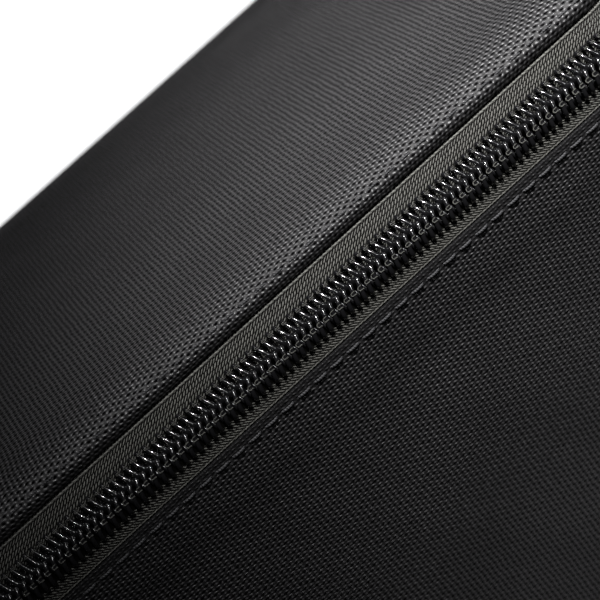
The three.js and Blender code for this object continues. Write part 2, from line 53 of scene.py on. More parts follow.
# ------------------------------------------------------------------ driving sizes
HALF_X, HALF_Y = 77.5, 45.0  # wall planes
R_FRONT, R_BACK = 18.0, 10.0  # upright corner radii
WALL_TOP = 101.5
# The zip lies on a 45 degree slope that rises inwards from the wall top; this is its middle.
ZIP_INSET = 3.75
ZIP_Z = WALL_TOP + ZIP_INSET
COS45 = math.sqrt(0.5)
TOOTH_PITCH = 1.3
TOOTH_AT = 4.3  # run position of one lower tooth
SPLIT_Y = 19.5  # on the right the upper zip half stays with the bag behind this

STITCH = 3.1  # pitch of sewn stitches
STITCH_ENDS = (-1.18, 1.18)  # ends of a stitch from its middle
TOPSTITCH_Z = WALL_TOP - 1.5
SEAM_Y = 33.1  # upright side seams

LID_INSET = 8.0
LID_HALF_X = HALF_X - LID_INSET
LID_FRONT_Y, LID_BACK_Y = -HALF_Y + LID_INSET, 44.7
R_LID_FRONT, R_LID_BACK = R_FRONT - LID_INSET, 5.0
HEM_EDGE = 109.93  # lower edge of the turned hem
HEM_SOFT = 111.30  # the hem starts to roll over here
SHOULDER, SHOULDER_Z, CROWN_Z = 10.0, 114.4, 115.0  # shoulder width, its height, lid middle

HANDLE_Z = 51.5  # middle of the handle
GRIP_LENGTH = 36.2


# ------------------------------------------------------------------ mesh helpers
def new_mesh(name, verts, faces, material, uvs=None, shade_smooth=True):
    mesh = bpy.data.meshes.new(name)
    verts = np.asarray(verts, float) * MILLI
    mesh.from_pydata(verts.tolist(), [], [list(map(int, face)) for face in faces])
    if uvs is not None:
        layer = mesh.uv_layers.new(name="UVMap")
        corners = np.empty(len(mesh.loops), np.int32)
        mesh.loops.foreach_get("vertex_index", corners)
        layer.data.foreach_set("uv", np.asarray(uvs, float)[corners].astype(np.float32).ravel())
    mesh.materials.append(material.data)
    mesh.polygons.foreach_set("use_smooth", [shade_smooth] * len(mesh.polygons))
    mesh.update()
    obj = bpy.data.objects.new(name, mesh)
    bpy.context.scene.collection.objects.link(obj)
    return obj


def fit(obj, body, slot, *nodes):
    """Tells the frame which body carries the piece and hides the frame nodes it stands for; slot, its
    kind, is not used.
    """
    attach(obj, body)
    if nodes:
        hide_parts(*nodes)


def grid_faces(rows, columns, closed=False):
    """Quads of a grid of vertices; closed joins the last column to the first."""
    i, j = np.meshgrid(
        np.arange(rows - 1), np.arange(columns if closed else columns - 1), indexing="ij"
    )
    across = (j + 1) % columns
    corners = [i * columns + j, i * columns + across]
    corners += [(i + 1) * columns + across, (i + 1) * columns + j]
    return np.stack(corners, -1).reshape(-1, 4)


def capped_sweep(rows):
    """rows (m, n, 3): a closed section swept along an open run, with an end face at each end."""
    count, sides, _ = rows.shape
    verts = rows.reshape(-1, 3)
    quads = grid_faces(count, sides, closed=True)
    a, b, c, d = (verts[quads[:, k]] for k in range(4))
    volume = np.einsum("ij,ij->i", a, np.cross(b, c)).sum()
    volume += np.einsum("ij,ij->i", a, np.cross(c, d)).sum()
    first = tuple(range(sides))
    last = tuple((count - 1) * sides + k for k in range(sides))
    if volume < 0:
        return verts, [*map(tuple, quads[:, ::-1]), first, last[::-1]]
    return verts, [*map(tuple, quads), first[::-1], last]


def face_outwards(obj, centre):
    """Open sheets: flips the mesh if, on the whole, its faces look at the centre (metres)."""
    mesh = obj.data
    mesh.update()
    total = 0.0
    count = len(mesh.polygons)
    for k in range(0, count, max(1, count // 4000)):
        face = mesh.polygons[k]
        total += face.area * (face.center - Vector(centre)).dot(face.normal)
    if total < 0:
        mesh.flip_normals()


def thicken(obj, thickness):
    """Gives a sheet its cloth thickness, inwards from its face."""
    modifier = obj.modifiers.new("thick", "SOLIDIFY")
    modifier.thickness = thickness * MILLI
    modifier.offset = -1.0


def catmull(points, count):
    """count points along a smooth curve through the given ones."""
    points = np.vstack([2 * points[0] - points[1], points, 2 * points[-1] - points[-2]])
    spans = len(points) - 3
    out = []
    for at in np.linspace(0, spans, count):
        i = min(int(at), spans - 1)
        t = at - i
        a, b, c, d = points[i : i + 4]
        cubic = (-a + 3 * b - 3 * c + d) * t**3
        out.append(0.5 * ((2 * b) + (-a + c) * t + (2 * a - 5 * b + 4 * c - d) * t * t + cubic))
    return np.array(out)


def lengths(points):
    """Distance of each point from the first along the line."""
    return np.concatenate([[0], np.cumsum(np.hypot(*np.diff(points, axis=0).T))])


def tube_object(name, paths, refs, half_side, half_ref, sides, material, test_ring,
                thread_length=None):
    """Many tubes in one mesh. paths (k, m, 3); refs (k, m, 3) reference directions;
    half_side, half_ref (m,) half sizes across and along the reference direction.
    A thread_length adds a UV map of (length along, share of the way round)."""
    count, rings, _ = paths.shape
    tangent = np.gradient(paths, axis=1)
    tangent /= np.linalg.norm(tangent, axis=2, keepdims=True)
    side = np.cross(tangent, refs)
    side /= np.linalg.norm(side, axis=2, keepdims=True)
    up = np.cross(side, tangent)
    angle = np.linspace(0, 2 * np.pi, sides, endpoint=False)
    across = (half_side[:, None] * np.cos(angle))[None, :, :, None]
    out = (half_ref[:, None] * np.sin(angle))[None, :, :, None]
    verts = paths[:, :, None, :] + side[:, :, None, :] * across + up[:, :, None, :] * out

    starts = (np.arange(count) * rings * sides)[:, None, None]
    faces = (grid_faces(rings, sides, closed=True)[None] + starts).reshape(-1, 4).tolist()
    for ring, order in ((0, 1), (rings - 1, -1)):
        for tube in range(count):
            first = (tube * rings + ring) * sides
            faces.append([first + k for k in range(sides)][::order])

    uvs = None
    if thread_length is not None:
        along = np.tile(np.repeat(np.linspace(0, thread_length, rings), sides), count)
        uvs = np.stack([along, np.tile(np.linspace(0, 1, sides), count * rings)], -1)
    obj = new_mesh(name, verts.reshape(-1, 3), faces, material, uvs)

    # all tubes share one winding: look at one face of the first tube
    mesh = obj.data
    first = test_ring * sides
    centre = Vector(np.mean([mesh.vertices[first + k].co for k in range(sides)], axis=0).tolist())
    face = mesh.polygons[first]
    if (face.center - centre).dot(face.normal) < 0:
        mesh.flip_normals()
    return obj


# ------------------------------------------------------------------ the run of the zip
# Run position is measured along the middle of the zip: 0 at the middle of the front, + to
# the right. It passes a straight front, a corner arc and a straight side.
FRONT_END = HALF_X - R_FRONT
CORNER_ARC = (R_FRONT - ZIP_INSET) * math.pi / 2
SIDE_START = FRONT_END + CORNER_ARC


def run_at_y(y):
    """Run position on the right side at a given y."""
    return SIDE_START + (y + HALF_Y - R_FRONT)


def run(along):
    """Corner-arc centre (x, y) and outward direction (x, y) at run positions."""
    along = np.atleast_1d(np.asarray(along, float))
    sign = np.where(along < 0, -1.0, 1.0)
    dist = np.abs(along)
    angle = np.clip((dist - FRONT_END) / (R_FRONT - ZIP_INSET), 0, math.pi / 2)
    centre_x = sign * np.minimum(dist, FRONT_END)
    centre_y = -HALF_Y + R_FRONT + np.maximum(dist - SIDE_START, 0)
    return centre_x, centre_y, sign * np.sin(angle), -np.cos(angle)


def wall_point(along, inset, z):
    """Points at a run position, inset from the wall plane, at height z."""
    centre_x, centre_y, out_x, out_y = run(along)
    radius = R_FRONT - np.asarray(inset, float)
    z = np.broadcast_to(np.asarray(z, float), centre_x.shape)
    return np.stack([centre_x + radius * out_x, centre_y + radius * out_y, z], -1)


def band_point(along, rise, lift):
    """Points on the zip slope: rise up the slope from the zip middle, lift outwards from it."""
    rise, lift = np.asarray(rise, float), np.asarray(lift, float)
    inset = ZIP_INSET + COS45 * (rise - lift)
    return wall_point(along, inset, ZIP_Z + COS45 * (rise + lift))


def to_band(inset, z):
    """(rise, lift) of a point given by inset and height."""
    inward, upward = (inset - ZIP_INSET) / COS45, (z - ZIP_Z) / COS45
    return (inward + upward) / 2, (upward - inward) / 2


def wall_normals(along):
    _, _, out_x, out_y = run(along)
    return np.stack([out_x, out_y, np.zeros_like(out_x)], -1)


def band_dirs(along):
    """Unit vectors up the slope and outwards from it."""
    _, _, out_x, out_y = run(along)
    level = np.full_like(out_x, COS45)
    up = np.stack([-out_x * COS45, -out_y * COS45, level], -1)
    return up, np.stack([out_x * COS45, out_y * COS45, level], -1)


# ------------------------------------------------------------------ shader arithmetic
class Value:
    """A shader value; every operation on it adds a node."""

    def __init__(self, tree, socket):
        self.tree, self.socket = tree, socket

    def _math(self, operation, *others):
        node = self.tree.nodes.new("ShaderNodeMath")
        node.operation = operation
        for k, other in enumerate((self,) + others):
            if isinstance(other, Value):
                self.tree.links.new(other.socket, node.inputs[k])
            else:
                node.inputs[k].default_value = float(other)
        return Value(self.tree, node.outputs[0])

    def __add__(self, other): return self._math("ADD", other)
    def __sub__(self, other): return self._math("SUBTRACT", other)
    def __rsub__(self, other): return (self * -1.0) + other
    def __mul__(self, other): return self._math("MULTIPLY", other)
    def __truediv__(self, other): return self._math("DIVIDE", other)
    def frac(self): return self._math("FRACT")
    def floor(self): return self._math("FLOOR")
    def abs(self): return self._math("ABSOLUTE")
    def sin(self): return self._math("SINE")
    def cos(self): return self._math("COSINE")
    def pow(self, other): return self._math("POWER", other)
    def max(self, other): return self._math("MAXIMUM", other)
    def clamp(self): return self._math("MINIMUM", 1.0)._math("MAXIMUM", 0.0)

    def step(self, low, high):
        """Eases from 0 at low to 1 at high."""
        node = self.tree.nodes.new("ShaderNodeMapRange")
        node.interpolation_type = "SMOOTHSTEP"
        self.tree.links.new(self.socket, node.inputs[0])
        for k, value in enumerate((low, high, 0.0, 1.0), start=1):
            node.inputs[k].default_value = value
        return Value(self.tree, node.outputs[0])

    def ripple(self, sharp=1.0):
        """1 at whole numbers, 0 half way between."""
        wave = (self * (2 * math.pi)).cos() * 0.5 + 0.5
        return wave if sharp == 1.0 else wave.max(1e-4).pow(sharp)


class Material:
    """A Principled material with room for procedural colour and bump."""

    def __init__(self, name, color, rough, metal=0.0, spec=0.5, sheen=0.0, sheen_rough=0.4,
                 coat=0.0):
        self.data = bpy.data.materials.new(name)
        self.data.use_nodes = True
        self.tree = self.data.node_tree
        self.shader = next(n for n in self.tree.nodes if n.type == "BSDF_PRINCIPLED")
        self.set("Base Color", (*color, 1))
        self.set("Roughness", rough)
        self.set("Metallic", metal)
        self.set("Specular IOR Level", spec)
        self.set("Sheen Weight", sheen)
        self.set("Sheen Roughness", sheen_rough)
        self.set("Coat Weight", coat)

    def set(self, key, value):
        self.shader.inputs[key].default_value = value

    def link(self, key, value):
        socket = value.socket if isinstance(value, Value) else value
        self.tree.links.new(socket, self.shader.inputs[key])

    def node_value(self, kind, output):
        return Value(self.tree, self.tree.nodes.new(kind).outputs[output])

    def _split(self, socket, axes):
        node = self.tree.nodes.new("ShaderNodeSeparateXYZ")
        self.tree.links.new(socket, node.inputs[0])
        return [Value(self.tree, node.outputs["xyz".index(axis)]) for axis in axes]

    def uv(self):
        node = self.tree.nodes.new("ShaderNodeUVMap")
        node.uv_map = "UVMap"
        return self._split(node.outputs[0], "xy")

    def position(self, axes="xyz", scale=1000.0):
        """Object coordinates, in millimetres unless scaled otherwise."""
        node = self.tree.nodes.new("ShaderNodeTexCoord")
        return [value * scale for value in self._split(node.outputs["Object"], axes)]

    def normal_abs(self, axes):
        node = self.tree.nodes.new("ShaderNodeNewGeometry")
        return [value.abs() for value in self._split(node.outputs["Normal"], axes)]

    def combine(self, x, y, z=0.0):
        node = self.tree.nodes.new("ShaderNodeCombineXYZ")
        for k, value in enumerate((x, y, z)):
            if isinstance(value, Value):
                self.tree.links.new(value.socket, node.inputs[k])
            else:
                node.inputs[k].default_value = value
        return node.outputs[0]

    def noise(self, vector, scale, detail, rough=0.5):
        node = self.tree.nodes.new("ShaderNodeTexNoise")
        self.tree.links.new(vector, node.inputs["Vector"])
        node.inputs["Scale"].default_value = scale
        node.inputs["Detail"].default_value = detail
        node.inputs["Roughness"].default_value = rough
        return Value(self.tree, node.outputs["Fac"])

    def color(self, amount, dark, light):
        """Base colour from dark at 0 to light at 1."""
        node = self.tree.nodes.new("ShaderNodeMix")
        node.data_type = "RGBA"
        self.tree.links.new(amount.socket, node.inputs[0])
        node.inputs[6].default_value = (*dark, 1)
        node.inputs[7].default_value = (*light, 1)
        self.link("Base Color", node.outputs[2])

    def bump(self, height, distance):
        """distance is in millimetres."""
        node = self.tree.nodes.new("ShaderNodeBump")
        node.inputs["Strength"].default_value = 1.0
        node.inputs["Distance"].default_value = distance * MILLI
        self.tree.links.new(height.socket, node.inputs["Height"])
        self.link("Normal", node.outputs[0])


# ------------------------------------------------------------------ materials
# half diagonals of the weave's staggered lattice
WEAVE_ALONG, WEAVE_ACROSS = 0.822, 0.545


def weave(mat, along, across, light, fold):
    """Dobby weave: short slanted floats on a staggered lattice, smaller knots between them,
    pits all round."""
    pos = mat.combine(along, across)
    # threads wander off the lattice by up to these shares
    shift_along = mat.noise(pos, scale=0.55, detail=2.0) - 0.5
    shift_across = mat.noise(mat.combine(across + 40.0, along), scale=0.5, detail=2.0) - 0.5
    along = along + shift_along * 0.5
    across = across + shift_across * 0.4
    # the two diagonals of the lattice, the second slightly curved
    rising = along / (2 * WEAVE_ALONG) + across / (2 * WEAVE_ACROSS)
    falling = across / (2 * WEAVE_ACROSS) - along / (2 * WEAVE_ALONG)
    falling = falling + ((rising * (2 * math.pi)).sin()) * 0.035
    floats = falling.ripple(sharp=3.0) * rising.ripple(sharp=1.5)
    knots = (falling + 0.5).ripple(sharp=2.6) * (rising + 0.5).ripple(sharp=1.6) * 0.86
    pits = (falling + 0.5).ripple(sharp=2.4) * rising.ripple(sharp=1.1)
    fine = ((along * 5.2 + across * 7.0) * (2 * math.pi)).sin() * 0.05  # single filaments
    uneven = mat.noise(pos, scale=0.9, detail=3.0)
    # height: a raised ground with floats and knots on it, less the pits
    height = (floats.max(knots) * 0.76 + 0.24 + fine * floats - pits * 0.44).clamp()
    fleck = mat.noise(pos, scale=2.6, detail=3.0, rough=0.6)
    # shade: painted from the height, darker in the pits as painted shade and lighter on the floats and
    # knots as painted highlight, made patchy by the slow and the fine unevenness
    raised = height * height * 0.55 + height * 0.45
    shade = (raised * (uneven * 0.7 + 0.3) * (fleck * 1.3 + 0.35) * 1.5).clamp()
    low_rough, high_rough = 0.62, 0.40  # in the pits, on the floats
    mat.link("Roughness", height * (high_rough - low_rough) + low_rough)
    if fold:
        # towards the sewn edge the cloth is pressed flat and dull; its crest is painted darker still, as
        # painted shade on the rolled fold
        plain, crest = fold
        shade = shade * (1.0 - plain * 0.62) + plain * (uneven * 0.16 + 0.06)
        shade = shade * (1.0 - crest * 0.55)
        gloss = (height * (0.66 - plain * 0.42) + plain * 0.11) * (1.0 - crest * 0.6)
    else:
        gloss = height * 0.90
    # the base colour carries the painted shade of the pits and the painted highlight of the floats, over
    # the cloth's own uneven tone
    mat.color(shade, dark=(0.0008, 0.0008, 0.0009), light=light)
    mat.link("Specular IOR Level", gloss)
    mat.bump(height + (uneven - 0.5) * 0.25, distance=0.15)


def cloth_material(name, by_uv=True, light=(0.056, 0.0545, 0.058), folds=()):
    """folds: height ranges over which the cloth turns plain, then into the crest, whose colour is painted
    darker as shade.
    """
    mat = Material(name, (0.03, 0.03, 0.032), 0.7, spec=0.35, sheen=0.015, sheen_rough=0.45)
    if by_uv:
        along, across = mat.uv()
        across = across * -1.0
    else:
        along, across = mat.position("xy")
    fold = [mat.position("z")[0].step(low, high) for low, high in folds]
    weave(mat, along, across, light, fold)
    return mat


def tape_material(name, cord_at, cord_half, light, period, coil_shadow_to=None):
    """Slanted twill strokes, with a cord of long stitches along one edge. cord_at and
    cord_half place the cord across the tape; coil_shadow_to is where the coil's shadow, painted dark on
    the tape, ends."""
    mat = Material(name, (0.05, 0.05, 0.046), 0.7, spec=0.3, sheen=0.01)
    along, across = mat.uv()
    jitter = mat.noise(mat.combine(along, across), scale=1.1, detail=3.0) - 0.5
    drift = mat.noise(mat.combine(across + 30.0, along), scale=0.7, detail=2.0) - 0.5
    lane_width = 0.66
    lane = (across + jitter * 0.26 + drift * 0.20) / lane_width
    in_lane = lane.frac()
    lean_back = (lane.floor() * 0.5).frac() * 2.0  # every other lane leans back a little
    phase = (along + jitter * 0.60 + drift * 0.3) / period
    phase = phase - in_lane * (1.38 - lean_back * 0.22) + lane.floor() * 0.47
    stroke = phase.ripple(sharp=2.0) * (in_lane * math.pi).sin().max(0.001).pow(0.8)
    edge = (((across - cord_at).abs() * -1.0 + cord_half) * 9.0).clamp()
    plait = ((along + across * 1.2 + jitter * 0.3) / 0.95).ripple(sharp=0.5)
    height = (stroke * (1.0 - edge) + edge * (plait * 0.5 + 0.35)).clamp()
    uneven = mat.noise(mat.combine(along, across), scale=1.5, detail=3.0)
    # painted shadow: under the coil the height, and with it the colour, is taken down to black where the
    # coil's shadow falls on the tape
    if coil_shadow_to:
        height = height * across.step(*coil_shadow_to)
    else:  # painted shade: darker next to the coil, slowly lighter away from it
        uneven = uneven * ((across - 3.2) * 0.14 + 0.74)
    shade = (height * (uneven * 1.3 + 0.35)).clamp()
    mat.color(shade, dark=(0.0012, 0.0012, 0.0010), light=light)
    mat.link("Specular IOR Level", height * 0.3)
    mat.bump(height, distance=0.14)
    return mat


def binding_material():
    """Two crossing sets of ribs."""
    mat = Material("binding", (0.03, 0.03, 0.03), 0.8, spec=0.3, sheen=0.1)
    x, y, z = mat.position()
    rib = 0.55
    height = ((x + y + z) / rib).ripple() * 0.5 + ((x - y + z * 0.7) / rib).ripple() * 0.5
    mat.color(height, dark=(0.010, 0.010, 0.011), light=(0.055, 0.055, 0.056))
    mat.bump(height, distance=0.08)
    return mat


def webbing_material():
    """Ribs along the strap, each crossed by slanted twill strokes."""
    mat = Material("webbing", (0.03, 0.03, 0.03), 0.62, spec=0.4, sheen=0.12)
    along, across = mat.uv()
    rib = 1.25
    ribs = (across / rib).ripple(sharp=0.7)
    # the strokes step on by 0.45 from rib to rib and slant within one
    lead = (across / rib - 0.5).floor() * 0.45
    twill = ((along + lead) / 0.9 + (across / rib).frac() * 0.8).ripple(sharp=0.8)
    height = (ribs * (twill * 0.55 + 0.45)).clamp()
    mat.color(height, dark=(0.006, 0.006, 0.007), light=(0.075, 0.075, 0.078))
    mat.bump(height, distance=0.22)
    return mat


def lining_material():
    """Plain weave as a check of crossing threads, laid to suit the way each face looks."""
    mat = Material("silver_glass_cloth", (0.6, 0.6, 0.61), 0.42, metal=0.35, spec=0.5)
    x, y, z = mat.position()
    facing_x, facing_z = mat.normal_abs("xz")
    turned = dict(low=0.55, high=0.75)  # facing at which y takes over as a coordinate
    along = x * (1.0 - facing_x.step(**turned)) + y * facing_x.step(**turned)
    across = z * (1.0 - facing_z.step(**turned)) + y * facing_z.step(**turned)
    thread = 1.1
    column, row = (along / thread), (across / thread)
    check = ((column.floor() + row.floor()) * 0.5).frac() * 2.0
    height = (column + 0.5).ripple(sharp=0.6) * (1.0 - check)
    height = height + (row + 0.5).ripple(sharp=0.6) * check
    mat.color(height, dark=(0.30, 0.305, 0.31), light=(0.66, 0.67, 0.68))
    patches = mat.noise(mat.combine(along, across), scale=0.15, detail=3.0)
    mat.link("Roughness", patches * 0.25 + 0.32)
    creases = mat.noise(mat.combine(x, y, z), scale=0.05, detail=3.0)
    mat.bump(height + creases * 4.0, distance=0.10)
    return mat


def felt_material():
    mat = Material("felt", (0.36, 0.36, 0.34), 0.95, spec=0.1, sheen=0.3)
    fibres = mat.noise(mat.combine(*mat.position()), scale=1.6, detail=5.0, rough=0.7)
    mat.color(fibres, dark=(0.20, 0.20, 0.19), light=(0.48, 0.48, 0.45))
    mat.bump(fibres, distance=0.3)
    return mat


def coil_material():
    """Black glossy nylon with slightly uneven gloss."""
    mat = Material("nylon_coil", (0.0045, 0.0045, 0.005), 0.17, spec=0.55)
    patches = mat.noise(mat.combine(*mat.position()), scale=1.1, detail=2.0)
    mat.link("Roughness", patches * 0.08 + 0.09)
    return mat


def thread_material(name, dark, light, ply, bump):
    """Two plies twisted; ply is the length of one twist."""
    mat = Material(name, light, 0.6, spec=0.35, sheen=0.15)
    along, around = mat.uv()
    height = (along / ply + around).ripple(sharp=0.8)
    mat.color(height, dark=dark, light=light)
    mat.bump(height, distance=bump)
    return mat


def metal_material():
    """Dark paint with faint orange peel, worn to bare metal on some edges."""
    mat = Material("painted_zinc", (0.012, 0.012, 0.013), 0.28, spec=0.5, coat=0.35)
    x, y, z = mat.position()
    mottle = mat.noise(mat.combine(x, y, z), scale=0.9, detail=4.0, rough=0.6)
    edge = mat.node_value("ShaderNodeNewGeometry", "Pointiness")
    wear = (edge + (mottle - 0.5) * 0.05).step(low=0.60, high=0.66) * 0.8
    mat.color(wear, dark=(0.012, 0.012, 0.013), light=(0.42, 0.41, 0.39))
    mat.link("Metallic", wear)
    mat.link("Roughness", mottle * 0.18 + 0.20)
    mat.bump(mat.noise(mat.combine(x, y, z), scale=2.2, detail=3.0), distance=0.03)
    return mat


def rubber_material():
    mat = Material("moulded_rubber", (0.012, 0.012, 0.012), 0.55, spec=0.4)
    mat.bump(mat.noise(mat.combine(*mat.position()), scale=6.0, detail=2.0), distance=0.03)
    return mat


MATERIALS = {
    "cloth": cloth_material("cloth"),
    "cloth_flat": cloth_material("cloth_flat", by_uv=False),
    # the walls' cloth: the same cloth with a darker light colour, as painted shade on the front and side
    # walls
    "cloth_wall_shaded": cloth_material(
        "cloth_wall_shaded",
        light=(0.043, 0.042, 0.0445),
        folds=((WALL_TOP - 2.5, WALL_TOP - 1.7), (WALL_TOP - 0.7, WALL_TOP - 0.2)),
    ),
    # one zip tape in two copies: the lower painted darker as shade from the coil, the upper painted
    # lighter as lit
    "tape_lower": tape_material(
        "zip_tape_lower_shaded", cord_at=4.86, cord_half=0.15, light=(0.078, 0.077, 0.070),
        period=0.63, coil_shadow_to=(2.55, 2.80),
    ),
    "tape_upper": tape_material(
        "zip_tape_upper_lit", cord_at=6.28, cord_half=0.20, light=(0.136, 0.135, 0.125), period=0.59
    ),
    "binding": binding_material(),
    "webbing": webbing_material(),
    "lining": lining_material(),
    "felt": felt_material(),
    "board": Material("fibre_board", (0.20, 0.195, 0.18), 0.85),
    "coil": coil_material(),
    "chain_thread": thread_material(
        "chain_thread", dark=(0.008, 0.008, 0.007), light=(0.060, 0.059, 0.052), ply=0.30,
        bump=0.03,
    ),
    "thread": thread_material(
        "top_thread", dark=(0.006, 0.006, 0.007), light=(0.030, 0.030, 0.033), ply=0.42,
        bump=0.05,
    ),
    "metal": metal_material(),
    "rubber": rubber_material(),
}


# ------------------------------------------------------------------ soft relief shared by all cloth
def lumps(x, y, z, seed=0.0):
    """Slow, smooth, repeatable unevenness, about -1 to 1: four crossing waves."""
    return (
        np.sin(x * 0.061 + 1.3 + seed) * np.cos(z * 0.083 - 0.7 + seed)
        + 0.6 * np.sin(x * 0.127 - z * 0.094 + 2.1 + seed)
        + 0.5 * np.sin(y * 0.118 + z * 0.071 + 0.4 + seed)
        + 0.35 * np.sin(x * 0.21 + y * 0.19 + z * 0.16 + 3.3 * seed)
    ) / 1.9


def smooth(value, low, high):
    """Eases from 0 at low to 1 at high."""
    t = np.clip((value - low) / (high - low), 0, 1)
    return t * t * (3 - 2 * t)


def stitch_relief(along, dist, depth=0.16, width=0.9):
    """Cloth pulled in along a stitch row, dist away from it, with a needle hole per stitch."""
    groove = np.exp(-((dist / width) ** 2))
    hole = np.exp(-((dist / 0.45) ** 2)) * (0.5 + 0.5 * np.cos(2 * np.pi * along / STITCH)) ** 3
    return -depth * groove - depth * 0.9 * hole


def seam_relief(z, dist):
    """An upright seam, fading out at the base and at the wall top."""
    return stitch_relief(z, dist) * smooth(z, 4, 8) * smooth(100 - z, 0, 2)


def base_roll():
    """(inset, z) of the rolled lower edge, from the base seam up."""
    return [
        (4.0 - 4.0 * math.sin(angle), 0.4 + 4.6 * (1 - math.cos(angle)))
        for angle in np.linspace(0, math.pi / 2, 7)
    ]


# ------------------------------------------------------------------ front and side walls
WALL_END = float(run_at_y(34.8))


def wall_profile():
    """(inset, z) up the outside, over the fold and down the inside."""
    face_z = np.concatenate([
        np.linspace(7, 92, 26), np.linspace(93.5, 97.5, 6), np.linspace(98.0, WALL_TOP - 0.34, 10)
    ])
    rows = base_roll() + [(0.0, z) for z in face_z]
    for angle in np.linspace(0, math.pi, 8)[1:]:
        rows.append((0.26 - 0.26 * math.cos(angle), WALL_TOP - 0.3 + 0.3 * math.sin(angle)))
    rows += [(0.52, z) for z in (100.4, 99.4, 97.5)]
    return np.array(rows)


def build_walls():
    step = 0.55
    stations = np.linspace(-WALL_END, WALL_END, int(2 * WALL_END / step) + 1)
    profile = wall_profile()
    crest = int(np.argmax(profile[:, 1]))
    cloth_z = lengths(profile)
    cloth_z = cloth_z - cloth_z[crest] + WALL_TOP  # equals z on the face
    along, inset = np.meshgrid(stations, profile[:, 0], indexing="ij")
    points = wall_point(along, inset, profile[:, 1])
    x, y, z = points[..., 0], points[..., 1], points[..., 2]

    corner = np.exp(-(((np.abs(along) - (FRONT_END + CORNER_ARC / 2)) / 11) ** 2))
    end_fade = smooth(WALL_END - np.abs(along), 0, 8)
    belly = np.sin(np.pi * np.clip((z - 4) / 95, 0, 1)) * end_fade * (1 - 0.9 * corner)
    relief = belly * (0.9 + 0.35 * lumps(x, y, z))
    small = 0.22 * lumps(x * 2.3, y * 2.3, z * 2.3, 1.7)
    relief += small * smooth(z, 2, 12) * smooth(100.5 - z, 0, 9) * (1 - 0.5 * corner)
    # fine gathers under the topstitch, strongest in the corners
    gather = 0.10 * np.sin(2 * np.pi * along / 5.7 + 1.1 * np.sin(along * 0.13))
    relief += gather * np.exp(-(((z - 97) / 4.0) ** 2)) * (0.35 + 0.9 * corner)
    relief += stitch_relief(along, z - TOPSTITCH_Z, depth=0.055, width=1.0)
    relief += seam_relief(z, WALL_END - 1.7 - np.abs(along))
    row = np.arange(len(profile))
    relief = np.where(row <= crest, relief, 0.0)

    # the turned hem is one layer thicker down to 8 mm under the fold
    fold_start = int(np.argmax((profile[:, 1] > 50) & (profile[:, 0] > 1e-6)))
    over = np.clip(1 - (row - fold_start + 1) / 7.0, 0, 1)
    relief += 0.20 * smooth(profile[:, 1], 92.6, 94.0) * np.where(row < fold_start, 1.0, over)
    relief = relief * smooth(z, 1.5, 6)  # none on the rolled edge
    points = points + wall_normals(along) * relief[..., None]

    uvs = np.stack([along, np.broadcast_to(cloth_z, along.shape)], -1).reshape(-1, 2)
    faces = grid_faces(len(stations), len(profile))
    # the walls get the cloth copy painted darker as shade
    wall = new_mesh(
        "front_side_cloth", points.reshape(-1, 3), faces, MATERIALS["cloth_wall_shaded"], uvs
    )
    thicken(wall, 0.35)
    face_outwards(wall, (0, 0, 0.057))
    fit(wall, "bag", "cloth", "front_side_band")


# ------------------------------------------------------------------ back panel
def build_back():
    """Round both back corners, and up the slope to the hinge."""
    half_flat = HALF_X - R_BACK
    half_length = half_flat + R_BACK * math.pi / 2 - 0.2
    slope_inset = 7.2
    stations = np.linspace(-half_length, half_length, 330)
    # columns: inset, z, share of the way up the slope
    profile = [(inset, z, 0) for inset, z in base_roll()]
    face_z = np.concatenate([np.linspace(7, 94, 26), np.linspace(95, WALL_TOP, 10)])
    profile += [(0.0, z, 0) for z in face_z]
    profile += [(0.0, WALL_TOP, share) for share in np.linspace(0, 1, 12)[1:]]
    profile = np.array(profile)
    along, up_slope = np.meshgrid(stations, profile[:, 2], indexing="ij")

    dist = np.abs(along)
    sign = np.where(along < 0, -1.0, 1.0)
    angle = np.clip((dist - half_flat) / R_BACK, 0, math.pi / 2)  # 0 on the back
    centre_x = sign * np.minimum(dist, half_flat)

    # the slope is full on the back and dies out round the corners
    flatten = smooth(np.pi / 2 - angle, 0.35, np.pi / 2)
    top_inset = slope_inset * (1 - flatten)
    inset = profile[:, 0] + up_slope * top_inset
    z = profile[:, 1] + up_slope * slope_inset
    belly = np.sin(np.pi * np.clip((z - 4) / 98, 0, 1)) * smooth(half_flat - dist, -4, 24)
    relief = belly * (0.9 + 0.35 * lumps(centre_x, 0, z, 4.0))
    small = 0.2 * lumps(centre_x * 2.2, 3, z * 2.2, 6.0)
    relief += small * smooth(z, 2, 12) * smooth(96 - z, 0, 8)
    relief = relief * smooth(z, 1.5, 6)
    relief += 0.9 * np.sin(np.pi * up_slope) * (1 - flatten) * 0.35  # the slope bulges
    relief += seam_relief(z, half_length - 1.6 - dist)

    radius = R_BACK - inset + relief
    x = centre_x + radius * sign * np.sin(angle)
    points = np.stack([x, HALF_Y - R_BACK + radius * np.cos(angle), z], -1)
    on_slope = WALL_TOP + up_slope * np.hypot(top_inset, slope_inset)
    uvs = np.stack([along + 500, np.where(up_slope > 0, on_slope, z)], -1).reshape(-1, 2)
    faces = grid_faces(len(stations), len(profile))
    back = new_mesh("back_cloth", points.reshape(-1, 3), faces, MATERIALS["cloth"], uvs)
    thicken(back, 0.7)
    face_outwards(back, (0, 0, 0.057))
    fit(back, "bag", "cloth", "back_panel")


